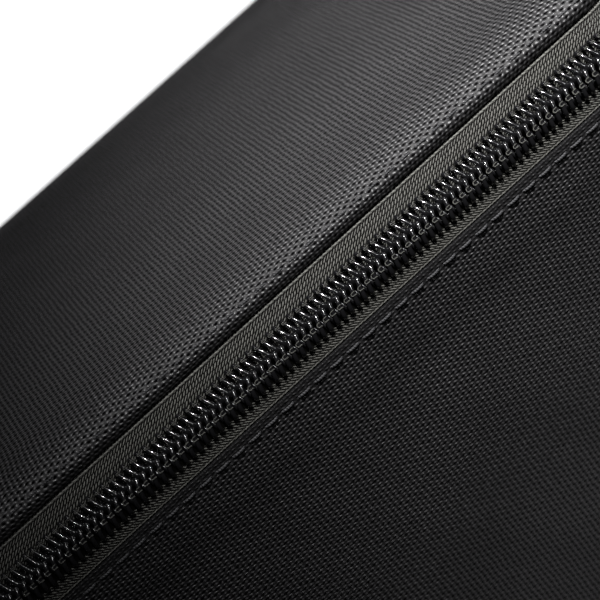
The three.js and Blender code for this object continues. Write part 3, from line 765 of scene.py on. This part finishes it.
# ------------------------------------------------------------------ lid
def lid_outline(n_long, n_side, n_arc):
    """Closed outline, anticlockwise from the back right: points and outward directions."""
    rows = []  # arc centre x, y, radius, direction x, y

    def line(x0, y0, x1, y1, radius, out_x, out_y, count):
        for k in range(count):
            t = k / count
            rows.append((x0 + (x1 - x0) * t, y0 + (y1 - y0) * t, radius, out_x, out_y))

    def arc(x, y, radius, start, count):
        """A quarter turn from the start angle in degrees."""
        for k in range(count):
            angle = math.radians(start + 90 * k / count)
            rows.append((x, y, radius, math.cos(angle), math.sin(angle)))

    back_x, back_y = LID_HALF_X - R_LID_BACK, LID_BACK_Y - R_LID_BACK
    front_x, front_y = LID_HALF_X - R_LID_FRONT, LID_FRONT_Y + R_LID_FRONT
    arc(back_x, back_y, R_LID_BACK, 0, n_arc)
    line(back_x, back_y, -back_x, back_y, R_LID_BACK, 0, 1, n_long)
    arc(-back_x, back_y, R_LID_BACK, 90, n_arc)
    line(-back_x, back_y, -back_x, front_y, R_LID_BACK, -1, 0, n_side)
    arc(-front_x, front_y, R_LID_FRONT, 180, n_arc)
    line(-front_x, front_y, front_x, front_y, R_LID_FRONT, 0, -1, n_long)
    arc(front_x, front_y, R_LID_FRONT, 270, n_arc)
    line(back_x, front_y, back_x, back_y, R_LID_BACK, 1, 0, n_side)
    rows = np.array(rows)
    return rows[:, :2] + rows[:, 2:3] * rows[:, 3:5], rows[:, 3:5]


def lid_profile():
    """(inset, z) from the inside of the hem, round it, up and over the shoulder."""
    rows = [(0.8, z) for z in (112.0, 111.4, 110.8)]
    for angle in np.linspace(0, math.pi, 8):
        rows.append((0.54 + 0.27 * math.cos(angle), HEM_EDGE + 0.2 - 0.2 * math.sin(angle)))
    for z in np.linspace(HEM_EDGE + 0.3, HEM_SOFT, 8):
        # the stitching draws the edge in against the tape
        rows.append((0.27 * max(0.0, 1 - (z - HEM_EDGE - 0.2) / 1.25) ** 1.6, z))
    for angle in np.linspace(0, math.pi / 2, 22)[1:]:
        rise = (SHOULDER_Z - HEM_SOFT) * math.sin(angle) ** 0.86
        rows.append((SHOULDER * (1 - math.cos(angle)), HEM_SOFT + rise))
    return np.array(rows)


LID_RIM, LID_OUT = lid_outline(n_long=300, n_side=160, n_arc=28)
RIM_AT = lengths(np.vstack([LID_RIM, LID_RIM[:1]]))  # the last entry is the whole way round
LID_EDGE = lid_profile()
HEM_OUTSIDE_ROW, HEM_STITCH_ROW = 10, 22  # rows of LID_EDGE: where the relief starts, the stitches
LID_MIDDLE = np.array([0.0, (LID_FRONT_Y + LID_BACK_Y) / 2])
LID_HALF = np.array([LID_HALF_X, (LID_BACK_Y - LID_FRONT_Y) / 2])


def lid_ring(inset):
    """The outline drawn towards the lid's middle by inset at the middle of each side."""
    return LID_MIDDLE + (LID_RIM - LID_MIDDLE) * (1 - inset / LID_HALF)


def build_lid():
    count = len(LID_RIM)
    along = RIM_AT[:-1]
    out_x, out_y = LID_OUT.T
    to_shoulder = lengths(LID_EDGE)
    to_shoulder = to_shoulder[-1] - to_shoulder  # along the cloth to the shoulder's inner end
    inner_ring = lid_ring(SHOULDER)
    outwards = LID_RIM - inner_ring
    outwards = outwards / np.linalg.norm(outwards, axis=1)[:, None]
    rows, uvs = [], []
    for (inset, z), dist in zip(LID_EDGE, to_shoulder):
        rows.append(np.column_stack([lid_ring(inset), np.full(count, z)]))
        uvs.append(inner_ring + outwards * dist)
    for share in np.linspace(1, 0.012, 44)[1:]:
        ring = LID_MIDDLE + (inner_ring - LID_MIDDLE) * share
        rows.append(np.column_stack([ring, np.zeros(count)]))
        uvs.append(ring)
    rows = np.array(rows)

    # soft crown: flat in the middle, slightly hollow towards the shoulders, uneven all over
    crown = rows[len(LID_EDGE):]
    x, y = crown[..., 0], crown[..., 1]
    from_x = np.clip(1 - np.abs(x) / (LID_HALF[0] - SHOULDER), 0, 1)
    from_y = np.clip(1 - np.abs(y - LID_MIDDLE[1]) / (LID_HALF[1] - SHOULDER), 0, 1)
    swell = smooth(from_x, 0, 0.40) * smooth(from_y, 0, 0.60)
    uneven = 0.80 + 0.2 * lumps(x, y, 0, 2.5)
    crown[..., 2] = SHOULDER_Z + (CROWN_Z - SHOULDER_Z) * swell * uneven
    fade = smooth(from_x, 0.0, 0.2) * smooth(from_y, 0.0, 0.2)
    crown[..., 2] += 0.22 * lumps(x * 1.9, y * 1.9, y * 0.3, 9.0) * fade

    # hem: stitch row and gathers, pushed outwards on the side and upwards on the shoulder
    for k in range(HEM_OUTSIDE_ROW, len(LID_EDGE)):
        inset = LID_EDGE[k, 0]
        dist = to_shoulder[k] - to_shoulder[HEM_STITCH_ROW]
        relief = stitch_relief(along, np.full(count, dist), depth=0.12, width=0.8)
        gather = 0.09 * np.sin(2 * np.pi * along / 6.3 + np.sin(along * 0.11))
        relief = relief + gather * np.exp(-(((dist + 1.5) / 2.5) ** 2))
        tilt = smooth(inset, 2, 9)
        rows[k, :, 0] += out_x * relief * (1 - tilt)
        rows[k, :, 1] += out_y * relief * (1 - tilt)
        uneven = 0.14 * lumps(rows[k, :, 0] * 2, rows[k, :, 1] * 2, 0, 5.0)
        rows[k, :, 2] += relief * tilt + uneven * smooth(inset, 1, 8)

    faces = [tuple(face) for face in grid_faces(len(rows), count, closed=True)]
    faces.append(tuple((len(rows) - 1) * count + k for k in range(count)))
    uvs = np.array(uvs).reshape(-1, 2) + np.array([0.31, 0.17])
    lid = new_mesh("lid_cloth", rows.reshape(-1, 3), faces, MATERIALS["cloth"], uvs)
    face_outwards(lid, (0, 0, 0.100))
    thicken(lid, 0.3)
    fit(lid, "lid", "cloth", "lid_panel")


# ------------------------------------------------------------------ zip tapes
TAPE_END = float(run_at_y(34.0))
COIL_END = float(run_at_y(33.0))
SPLIT = float(run_at_y(SPLIT_Y))

# Closed sections as (rise, lift): the outer face from the chain outwards, then back along the
# inner face. Slightly dished behind the coil and cambered beyond it.
TAPE_INNER = [(0.18, -0.50), (1.5, -0.47), (3.2, -0.44), (3.9, -0.36), (4.5, -0.36)]
LOWER_TAPE = [
    *((-rise, lift) for rise, lift in TAPE_INNER),
    (-4.72, -0.32), (-4.86, -0.30), (-4.97, -0.42),
    to_band(0.98, 101.5), to_band(0.98, 101.1), to_band(1.0, 97.0),
    to_band(1.5, 97.0), to_band(1.5, 101.5),
    (-4.0, -0.98), (-3.0, -1.0), (-0.18, -1.0),
]
UPPER_TAPE = [
    *TAPE_INNER,
    (5.3, -0.38), (6.06, -0.42), (6.13, -0.30), (6.28, -0.22), (6.43, -0.30), (6.52, -0.45),
    to_band(8.9, 109.75), to_band(9.0, 110.4), to_band(9.0, 111.8),
    to_band(9.5, 111.8), to_band(9.5, 109.7),
    (5.5, -1.0), (3.0, -1.0), (0.18, -1.0),
]
END_TAPE = [
    (0.18, -0.50), (1.5, -0.47), (3.2, -0.44), (3.9, -0.38), (5.0, -0.40),
    (5.6, -0.5), (5.6, -1.0), (3.0, -1.0), (0.18, -1.0),
]


def tape(name, start, end, section, material, body, node):
    step = 1.0
    stations = np.linspace(start, end, max(2, int(abs(end - start) / step) + 1))
    section = np.array(section)
    along, rise = np.meshgrid(stations, section[:, 0], indexing="ij")
    lift = np.broadcast_to(section[:, 1], along.shape)
    verts, faces = capped_sweep(band_point(along, rise, lift))
    # across the tape, counted from the middle of the zip
    across = np.broadcast_to(lengths(section) + 0.18, along.shape)
    uvs = np.stack([along, across], -1).reshape(-1, 2)
    obj = new_mesh(name, verts, faces, MATERIALS[material], uvs)
    fit(obj, body, "tape", node)


def build_tapes():
    tape("tape_lower", -TAPE_END, TAPE_END, LOWER_TAPE, "tape_lower", "bag", "lower_zip_tape")
    tape("tape_upper", -COIL_END, SPLIT, UPPER_TAPE, "tape_upper", "lid", "upper_zip_tape")
    tape(
        "tape_end", SPLIT + 0.3, TAPE_END, END_TAPE, "tape_upper", "bag", "zip_end_tape_right"
    )


# ------------------------------------------------------------------ coil turns
UPPER, LOWER = 1, -1  # sign of the rise of each zip half
WIRE_R = 0.36
# flatness of the top leg: the upper half is pressed flatter than the lower
FLATNESS = {UPPER: 3.3, LOWER: 2.0}


def leg_height(rise, flatness):
    """Height of the top leg over the tape at a distance from the middle of the zip."""
    reach = abs((rise - 0.12) / 2.86) ** flatness
    return 0.36 + 1.26 * max(0.0, 1 - reach) ** (1 / flatness)


def leg_along(rise):
    """How far the top leg lies along the zip from its head, at a distance from the middle."""
    return -0.84 + 0.80 * (1 - (rise - 0.2) / 2.55) ** 1.15


def coil_turn(flatness):
    """Control points of one turn (along, rise, lift): the outer end low, up and over to the
    head, then back underneath to the next turn."""
    top_leg = [
        (leg_along(rise), rise, leg_height(rise, flatness))
        for rise in (2.75, 2.6, 2.35, 2.05, 1.7, 1.35, 1.0, 0.65, 0.3)
    ]
    return np.array([
        (-0.84, 2.86, 0.02), (-0.845, 2.86, 0.30), *top_leg,
        (-0.01, 0.06, 1.56), (0.0, -0.14, 1.34), (0.0, -0.24, 0.92), (0.02, -0.12, 0.46),
        (0.06, 0.28, 0.12), (0.14, 0.95, -0.04), (0.26, 1.60, -0.06), (0.38, 2.20, -0.06),
        (0.44, 2.60, -0.03), (0.46, 2.82, 0.08),
    ])


def coil(name, heads, half, body, node):
    """One turn per head run position."""
    rings = 36
    shape = catmull(coil_turn(FLATNESS[half]), rings)
    count = len(heads)
    wobble = rng.normal(0, 0.006, (count, 3))
    along = heads[:, None] + shape[None, :, 0] + wobble[:, 0:1]
    rise = half * (shape[None, :, 1] + wobble[:, 1:2])
    lift = shape[None, :, 2] + wobble[:, 2:3]
    up, out = band_dirs(np.repeat(heads, rings))
    # reference direction: away from the middle of the turn's loop
    away_rise = (shape[:, 1] - 1.35) * 0.35
    away_lift = shape[:, 2] - 0.72
    size = np.hypot(away_rise, away_lift)
    refs = up.reshape(count, rings, 3) * (half * away_rise / size)[None, :, None]
    refs = refs + out.reshape(count, rings, 3) * (away_lift / size)[None, :, None]
    # the head is pressed wider along the zip
    head = np.exp(-(((np.linspace(0, 1, rings) - 0.56) / 0.09) ** 2))
    obj = tube_object(
        name, band_point(along, rise, lift), refs,
        half_side=WIRE_R + 0.09 * head, half_ref=WIRE_R - 0.06 * head,
        sides=10, material=MATERIALS["coil"], test_ring=rings // 2,
    )
    fit(obj, body, "coil", node)


def tooth_heads():
    """Run positions of the lower heads, and of the upper ones half way between them."""
    phase = TOOTH_AT % TOOTH_PITCH
    first = math.ceil((-COIL_END + 1.0 - phase) / TOOTH_PITCH)
    last = math.floor((COIL_END - 0.8 - phase) / TOOTH_PITCH)
    lower = np.arange(first, last + 1) * TOOTH_PITCH + phase
    return lower, lower[:-1] + TOOTH_PITCH / 2


# ------------------------------------------------------------------ chain stitch over the coil
# row_at: distance of the row from the middle of the zip; half_open: half the gap between the
# legs; length: of a leg; radius: of the thread; shift: of the loop along the zip
LOWER_LOOP = dict(row_at=1.52, half_open=0.26, length=0.52, radius=0.085, shift=-0.33)
UPPER_LOOP = dict(row_at=2.20, half_open=0.13, length=0.56, radius=0.058, shift=-0.47)


def coil_stitches(name, heads, half, body, nodes, row_at, half_open, length, radius, shift):
    """A U of thread per tooth, lying over the coil: two legs along the zip, closed at the
    trailing end."""
    bend = []  # along, across
    for t in np.linspace(0, 1, 15):
        if t < 0.4:
            bend.append((length * (1 - t / 0.4), half_open))
        elif t < 0.6:
            angle = (t - 0.4) / 0.2 * math.pi
            bend.append((-half_open * math.sin(angle) * 0.9, half_open * math.cos(angle)))
        else:
            bend.append((length * (t - 0.6) / 0.4, -half_open))
    bend = np.array(bend)
    count, rings = len(heads), len(bend)
    wobble = rng.normal(0, 1, (count, 4))
    loop = (bend[:, 0] - 0.35)[None, :] * (1 + 0.06 * wobble[:, 0:1])
    from_head = shift + loop + 0.03 * wobble[:, 1:2]
    rise = row_at + bend[None, :, 1] * (1 + 0.12 * wobble[:, 2:3]) + 0.02 * wobble[:, 3:4]
    # the thread lies over the coil's leg and dives into the gap on either side of it
    grid = np.linspace(0.3, 2.7, 25)
    height = np.interp(rise, grid, [leg_height(at, FLATNESS[half]) for at in grid])
    from_leg = from_head - np.interp(rise, grid, leg_along(grid))
    over_leg = WIRE_R * np.sqrt(np.clip(1 - (from_leg / 0.53) ** 2, 0, 1))
    paths = band_point(heads[:, None] + from_head, half * rise, height + over_leg + radius * 0.6)
    _, out = band_dirs(np.repeat(heads, rings))
    radii = np.full(rings, radius)
    obj = tube_object(
        name, paths, out.reshape(count, rings, 3), half_side=radii, half_ref=radii * 0.8,
        sides=7, material=MATERIALS["chain_thread"], test_ring=rings // 4,
        thread_length=2.6,
    )
    fit(obj, body, "thread", *nodes)


def build_chain():
    lower, upper = tooth_heads()
    coil("coil_lower", lower, LOWER, "bag", "lower_zip_coil")
    coil("coil_upper", upper[upper < SPLIT - 0.6], UPPER, "lid", "upper_zip_coil")
    coil("coil_end", upper[upper > SPLIT + 0.9], UPPER, "bag", "zip_end_coil_right")
    coil_stitches(
        "coil_stitch_lower", lower[1:-1], LOWER, "bag", ["lower_coil_thread"], **LOWER_LOOP
    )
    upper = upper[1:]
    front, rear = upper[upper < SPLIT - 1.2], upper[upper > SPLIT + 1.0]
    coil_stitches("coil_stitch_upper", front, UPPER, "lid", ["upper_coil_thread"], **UPPER_LOOP)
    coil_stitches("coil_stitch_end", rear, UPPER, "bag", [], **UPPER_LOOP)


# ------------------------------------------------------------------ rows of sewn stitches
def stitches(name, ends, normals, body, node, radius=0.17):
    """ends (k, 2, 3): both ends of each stitch; normals (k, 3). The ends sink into the cloth."""
    rings = 9
    t = np.linspace(0, 1, rings)
    from_middle = np.abs(2 * t - 1)
    paths = ends[:, :1] * (1 - t)[None, :, None] + ends[:, 1:] * t[None, :, None]
    lift = -(from_middle**3) * 0.34 + 0.08
    paths = paths + normals[:, None, :] * lift[None, :, None]
    radii = radius * (1 - 0.35 * from_middle**4)
    obj = tube_object(
        name, paths, np.repeat(normals[:, None, :], rings, axis=1), half_side=radii,
        half_ref=radii * 0.85, sides=7, material=MATERIALS["thread"], test_ring=rings // 2,
        thread_length=2.35,
    )
    fit(obj, body, "thread", node)


def same_normal(direction, count):
    return np.tile(np.array(direction, float), (count, 1))


def build_wall_topstitch():
    middles = np.arange(-135, 135.1, STITCH)
    ends = np.stack([wall_point(middles + end, -0.27, TOPSTITCH_Z) for end in STITCH_ENDS], 1)
    stitches(
        "wall_topstitch", ends, wall_normals(middles), "bag", "body_topstitch", radius=0.225
    )


def build_lid_topstitch():
    inset, z = LID_EDGE[HEM_STITCH_ROW]
    ring = lid_ring(inset)
    ring = np.vstack([ring, ring[:1]])
    ring_out = np.vstack([LID_OUT, LID_OUT[:1]])
    total = RIM_AT[-1]
    count = int(total / STITCH)
    middles = (np.arange(count) + 0.5) * total / count
    out = np.stack([np.interp(middles, RIM_AT, ring_out[:, k]) for k in (0, 1)], -1)
    out /= np.linalg.norm(out, axis=1)[:, None]
    slope = LID_EDGE[HEM_STITCH_ROW + 1] - LID_EDGE[HEM_STITCH_ROW - 1]
    slope /= np.hypot(*slope)
    normals = np.column_stack([out * slope[1], np.full(count, slope[0])])
    ends = []
    for end in STITCH_ENDS:
        at = (middles + end) % total
        x, y = (np.interp(at, RIM_AT, ring[:, k]) for k in (0, 1))
        ends.append(np.stack([x, y, np.full_like(x, z)], -1) - normals * 0.08)
    keep = out[:, 1] < 0.9  # none along the back
    stitches("lid_hem_stitch", np.stack(ends, 1)[keep], normals[keep], "lid", "lid_topstitch")


def build_side_seams():
    z = np.arange(8.5, 98, STITCH)
    for side, sign in (("right", 1), ("left", -1)):
        x, y = np.full_like(z, sign * (HALF_X + 0.04)), np.full_like(z, SEAM_Y)
        ends = np.stack([np.stack([x, y, z + end], -1) for end in STITCH_ENDS], 1)
        normals = same_normal((sign, 0, 0), len(z))
        stitches(f"side_seam_{side}", ends, normals, "bag", f"side_seam_stitch_{side}")


# ------------------------------------------------------------------ cloth hinge
# (y, z) up the outer face
HINGE_PROFILE = np.array([
    (46.35, 96.0), (46.45, 97.0), (46.45, 99.0), (46.3, 102.0), (46.2, 105.0), (46.25, 107.2),
    (46.5, 108.4), (46.75, 109.0), (46.5, 109.6), (46.1, 110.3), (45.95, 111.0),
    (45.95, 111.8), (45.9, 112.2),
])


def build_hinge():
    """One strip of webbing sewn to the back and to the lid."""
    profile = catmull(HINGE_PROFILE, 40)
    stations = np.linspace(-62, 62, 70)
    z, x = np.meshgrid(profile[:, 1], stations, indexing="ij")
    wave = 0.12 * np.sin(x * 0.23) + 0.08 * np.sin(x * 0.51 + 1)
    y = profile[:, :1] + wave * smooth(z, 98, 104) * smooth(111 - z, 0, 3)
    verts = np.stack([x, y, z], -1).reshape(-1, 3)
    uvs = np.stack([x, z], -1).reshape(-1, 2)
    faces = grid_faces(len(profile), len(stations))
    hinge = new_mesh("hinge_webbing", verts, faces, MATERIALS["webbing"], uvs)
    face_outwards(hinge, (0, 0.02, 0.100))
    thicken(hinge, 0.9)
    # the thickness is applied to the mesh
    bpy.context.view_layer.objects.active = hinge
    with bpy.context.temp_override(object=hinge, active_object=hinge):
        bpy.ops.object.modifier_apply(modifier="thick")
    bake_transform(hinge)
    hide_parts("hinge_strip", "lid_hinge_strip")

    x = np.arange(-59.5, 59.6, STITCH)
    y, z = np.full_like(x, 46.52), np.full_like(x, 98.4)
    ends = np.stack([np.stack([x + end, y, z], -1) for end in STITCH_ENDS], 1)
    stitches("hinge_stitches", ends, same_normal((0, 1, 0), len(x)), "bag", "hinge_stitch")


# ------------------------------------------------------------------ carry handle
# upper strap end, mirrored for the lower one; columns: distance out from the end wall, z,
# half width, thickness
STRAP_END = np.array([
    (1.35, 96.2, 12.5, 1.9), (1.3, 90, 12.5, 1.8), (1.3, 84, 12.5, 1.8), (1.35, 78, 12.5, 1.8),
    (1.7, 75.6, 12.3, 1.8), (3.2, 73.2, 11.6, 2.0), (5.4, 71.4, 10.4, 2.5),
    (7.6, 70.0, 9.2, 3.1), (8.9, 68.6, 8.5, 3.5), (9.6, 66.6, 8.3, 3.7),
])
SEW_CORNERS = ((-9.5, -7), (9.5, -7), (9.5, 7), (-9.5, 7))  # (y, z) from the box middle
SEW_LINES = ((0, 1), (1, 2), (2, 3), (3, 0), (0, 2), (3, 1))  # the box, then its cross


def strap_mesh(name, path, half_width, thickness, along_start):
    """path (m, 2) as (distance out from the end wall, z); half width and thickness per row."""
    tangent = np.gradient(path, axis=0)
    tangent /= np.linalg.norm(tangent, axis=1)[:, None]
    normal = np.stack([-tangent[:, 1], tangent[:, 0]], -1)
    if normal[len(path) // 2, 0] < 0:
        normal = -normal
    section = []  # a flat oval with tight edges, as (across, through), each -1 to 1
    for angle in np.linspace(0, 2 * np.pi, 36, endpoint=False):
        cos, sin = math.cos(angle), math.sin(angle)
        section.append((np.sign(cos) * abs(cos) ** 0.35, np.sign(sin) * abs(sin) ** 0.6))
    across, through = np.array(section).T
    y = half_width[:, None] * across
    depth = through * thickness[:, None] / 2
    out = path[:, :1] + normal[:, :1] * depth
    z = path[:, 1:] + normal[:, 1:] * depth
    along = np.broadcast_to(lengths(path)[:, None] + along_start, y.shape)
    # the inner face takes its own part of the texture
    uvs = np.stack([along, y + np.where(through < 0, 40.0, 0.0)], -1).reshape(-1, 2)
    verts, faces = capped_sweep(np.stack([-HALF_X - out, y, z], -1))
    return new_mesh(name, verts, faces, MATERIALS["webbing"], uvs)


def build_strap_end(side, sign, along_start):
    rows = 46
    curve = catmull(STRAP_END[:, :3], rows)
    stations = np.arange(len(STRAP_END))
    thickness = np.interp(np.linspace(0, stations[-1], rows), stations, STRAP_END[:, 3])
    path = curve[:, :2].copy()
    path[:, 1] = HANDLE_Z + sign * (path[:, 1] - HANDLE_Z)
    strap = strap_mesh(f"handle_strap_{side}", path, curve[:, 2], thickness, along_start)
    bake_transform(strap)
    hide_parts(f"handle_end_{side}")

    # box and cross stitching
    x, box_z = -HALF_X - 2.12, HANDLE_Z + sign * 35.0
    ends = []
    for i, j in SEW_LINES:
        (y0, z0), (y1, z1) = SEW_CORNERS[i], SEW_CORNERS[j]
        count = max(1, int(round(math.hypot(y1 - y0, z1 - z0) / 2.6)))
        for k in range(count):
            shares = ((k + 0.08) / count, (k + 0.92) / count)
            ends.append([(x, y0 + (y1 - y0) * t, box_z + z0 + (z1 - z0) * t) for t in shares])
    normals = same_normal((-1, 0, 0), len(ends))
    stitches(
        f"handle_box_{side}", np.array(ends, float), normals, "bag", f"handle_stitch_{side}",
        radius=0.2,
    )


def grip_path(t):
    """(distance out from the end wall, z) down the bowed grip, t from 0 to 1."""
    top = HANDLE_Z + GRIP_LENGTH / 2
    return np.stack([9.0 + 4.2 * np.sin(np.pi * t), top - GRIP_LENGTH * t], -1)


def build_grip():
    rows = 60
    t = np.linspace(0, 1, rows)
    half_width = 8.5 + 0.25 * (1 - np.sin(np.pi * t))
    grip = strap_mesh(
        "handle_grip_fold", grip_path(t), half_width, np.full(rows, 4.1), along_start=100
    )
    fit(grip, "handle", "webbing", "handle_grip")

    ends, normals = [], []
    for y in (-5.6, 5.6):
        for middle in np.arange(0.09, 0.92, 0.072):
            pair = grip_path(np.array([middle - 0.03, middle + 0.03]))
            tangent = pair[1] - pair[0]
            tangent /= np.hypot(*tangent)
            normal = np.array([-tangent[1], tangent[0]])
            normal = normal if normal[0] > 0 else -normal
            ends.append([(-HALF_X - out, y, z) for out, z in pair + normal * 2.02])
            normals.append((-normal[0], 0, normal[1]))
    stitches(
        "handle_grip_stitches", np.array(ends), np.array(normals), "handle",
        "handle_grip_stitch", radius=0.18,
    )


# ------------------------------------------------------------------ pieces that keep the frame's own shape
FRAME_PIECES = (  # node, material, edge rounding (0: edges stay sharp)
    ("slider_body", "metal", 0.32),
    ("slider_crown", "metal", 0.38),
    ("pull_tab", "metal", 0.16),
    ("pull_grip", "rubber", 0.5),
    ("rim_binding", "binding", 0.2),
    ("lid_binding", "binding", 0.12),
    ("inner_lining", "lining", 0),
    ("lid_lining", "lining", 0),
    ("wall_padding", "felt", 0),
    ("lid_padding", "felt", 0),
    ("base_board", "board", 0),
    ("base_panel", "cloth_flat", 0),
    ("zip_end_tab_left", "binding", 0.15),
    ("zip_end_tab_right", "binding", 0.15),
)


def finish_frame_piece(node, material, bevel):
    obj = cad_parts[node]
    obj.data.materials.clear()
    obj.data.materials.append(MATERIALS[material].data)
    for face in obj.data.polygons:
        face.use_smooth = True
    if bevel:
        rounding = obj.modifiers.new("edge", "BEVEL")
        rounding.width = bevel * MILLI
        rounding.segments = 3
        rounding.limit_method = "ANGLE"
        rounding.angle_limit = math.radians(28)
        rounding.harden_normals = False
    else:  # keep flat faces flat
        split = obj.modifiers.new("split", "EDGE_SPLIT")
        split.split_angle = math.radians(35)


# ------------------------------------------------------------------ stage, world, lights
def build_stage():
    """A floor that is white to the camera, brighter far out, and almost black to all else."""
    mat = Material("stage_white", (0.82, 0.82, 0.82), 0.9, spec=0.0)
    mat.set("Emission Color", (1, 1, 1, 1))
    seen = mat.node_value("ShaderNodeLightPath", "Is Camera Ray")
    x, y = mat.position("xy", scale=1.0)
    far = (x * x + y * y).pow(0.5).step(low=0.16, high=0.42)  # metres from the middle
    mat.link("Emission Strength", seen * (far * 0.45 + 0.58))
    mat.link("Base Color", mat.combine(*(seen * 0.78 + 0.03 for _ in range(3))))
    size, z = 6000, -0.5
    corners = [(-size, -size, z), (size, -size, z), (size, size, z), (-size, size, z)]
    new_mesh("floor", corners, [(0, 1, 2, 3)], mat, shade_smooth=False)


def build_world():
    """White to the camera, a faint cool fill to everything else."""
    world = bpy.data.worlds.new("studio")
    bpy.context.scene.world = world
    world.use_nodes = True
    nodes, links = world.node_tree.nodes, world.node_tree.links
    fill = nodes["Background"]
    fill.inputs[0].default_value = (0.9, 0.95, 1.0, 1)
    fill.inputs[1].default_value = 0.02
    backdrop = nodes.new("ShaderNodeBackground")
    backdrop.inputs[0].default_value = (1, 1, 1, 1)
    backdrop.inputs[1].default_value = 1.0
    path = nodes.new("ShaderNodeLightPath")
    mix = nodes.new("ShaderNodeMixShader")
    links.new(path.outputs["Is Camera Ray"], mix.inputs[0])
    links.new(fill.outputs[0], mix.inputs[1])
    links.new(backdrop.outputs[0], mix.inputs[2])
    links.new(mix.outputs[0], nodes["World Output"].inputs[0])


def lamp(name, kind, pos, power, color, target=None):
    """pos and target are in metres; without a target the lamp points straight down."""
    light = bpy.data.lights.new(name, kind)
    light.energy = power
    light.color = color
    obj = bpy.data.objects.new(name, light)
    bpy.context.scene.collection.objects.link(obj)
    obj.location = pos
    if target:
        aim = Vector(target) - Vector(pos)
        obj.rotation_euler = aim.to_track_quat("-Z", "Y").to_euler()
    return obj


def area(name, pos, size, power, color=(1, 1, 1), target=None):
    obj = lamp(name, "AREA", pos, power, color, target)
    obj.data.shape = "RECTANGLE"
    obj.data.size, obj.data.size_y = size
    obj.data.spread = math.pi
    return obj


def spot(name, pos, target, radius, power, half_angle, color):
    light = lamp(name, "SPOT", pos, power, color, target).data
    light.spot_size = math.radians(2 * half_angle)
    light.spot_blend = 1.0
    light.shadow_soft_size = radius


def build_lights():
    # soft-edged beams centred to the right of the middle, so the light dies away to the left
    spot("front_high", pos=(0.20, -0.365, 1.02), target=(0.074, -0.045, 0.10), radius=0.035,
         power=150.0, half_angle=6.9, color=(1.0, 0.99, 0.98))
    spot("overhead", pos=(0.22, 0.22, 1.10), target=(0.076, 0.0, 0.11), radius=0.045,
         power=4.0, half_angle=6.8, color=(1.0, 0.99, 1.0))
    strip = area("strip", pos=(0.16, -0.02, 1.15), size=(0.085, 0.95), power=1.3,
                 color=(1.0, 0.995, 1.0))
    strip.rotation_euler = (0.0, 0.15, 0.0)
    area("front_small", pos=(0.25, -0.72, 0.95), target=(0, 0, 0.08), size=(0.15, 0.15),
         power=3.0, color=(0.99, 0.99, 1.0))
    # low lights behind and to the left: below the lid, so they leave its top alone
    area("rear_low", pos=(-0.75, 0.95, 0.06), target=(0, 0, 0.06), size=(0.7, 0.09), power=7.0)
    area("left_low", pos=(-1.05, 0.16, 0.06), target=(0, 0.16, 0.06), size=(0.35, 0.09),
         power=4.0)
    area("right_low", pos=(1.20, -0.15, 0.30), target=(0, 0, 0.05), size=(0.4, 0.3), power=1.0)


# ------------------------------------------------------------------ camera
EYE = np.array([-18.6, -240.75, 236.94])  # before the tilt
VIEW_AXES = np.array([  # rows: the camera's right, up and backward directions, before the tilt
    (0.73728, -0.41229, -0.53519),
    (0.67089, 0.3536, 0.65182),
    (-0.07949, -0.83963, 0.5373),
])
ZIP_FRONT = np.array([0, -42.6, 106.6])  # a point over the zip at the middle of the front
TILT = math.radians(2.2)  # of the whole view about the x line through ZIP_FRONT
FOCUS_X = 4.0


def build_camera():
    data = bpy.data.cameras.new("camera")
    cam = bpy.data.objects.new("camera", data)
    bpy.context.scene.collection.objects.link(cam)
    data.sensor_width = 36
    data.lens = 102
    cos, sin = math.cos(TILT), math.sin(TILT)
    tilt = np.array([[1, 0, 0], [0, cos, -sin], [0, sin, cos]])
    matrix = Matrix((tilt @ VIEW_AXES.T).tolist()).to_4x4()
    matrix.translation = Vector(((tilt @ (EYE - ZIP_FRONT) + ZIP_FRONT) * MILLI).tolist())
    cam.matrix_world = matrix
    data.clip_start = 0.01
    data.clip_end = 50
    focus = bpy.data.objects.new("focus", None)
    bpy.context.scene.collection.objects.link(focus)
    focus.location = ((ZIP_FRONT + [FOCUS_X, 0, 0]) * MILLI).tolist()
    data.dof.use_dof = True
    data.dof.focus_object = focus
    data.dof.aperture_fstop = 30
    bpy.context.scene.camera = cam


# ------------------------------------------------------------------ build
build_walls()
build_back()
build_lid()
build_tapes()
build_chain()
build_wall_topstitch()
build_lid_topstitch()
build_side_seams()
build_hinge()
build_strap_end("top", sign=1, along_start=0)
build_strap_end("bottom", sign=-1, along_start=300)
build_grip()
for piece in FRAME_PIECES:
    finish_frame_piece(*piece)
build_stage()
build_world()
build_lights()
build_camera()
view = bpy.context.scene.view_settings
view.view_transform = "Standard"
view.look = "None"
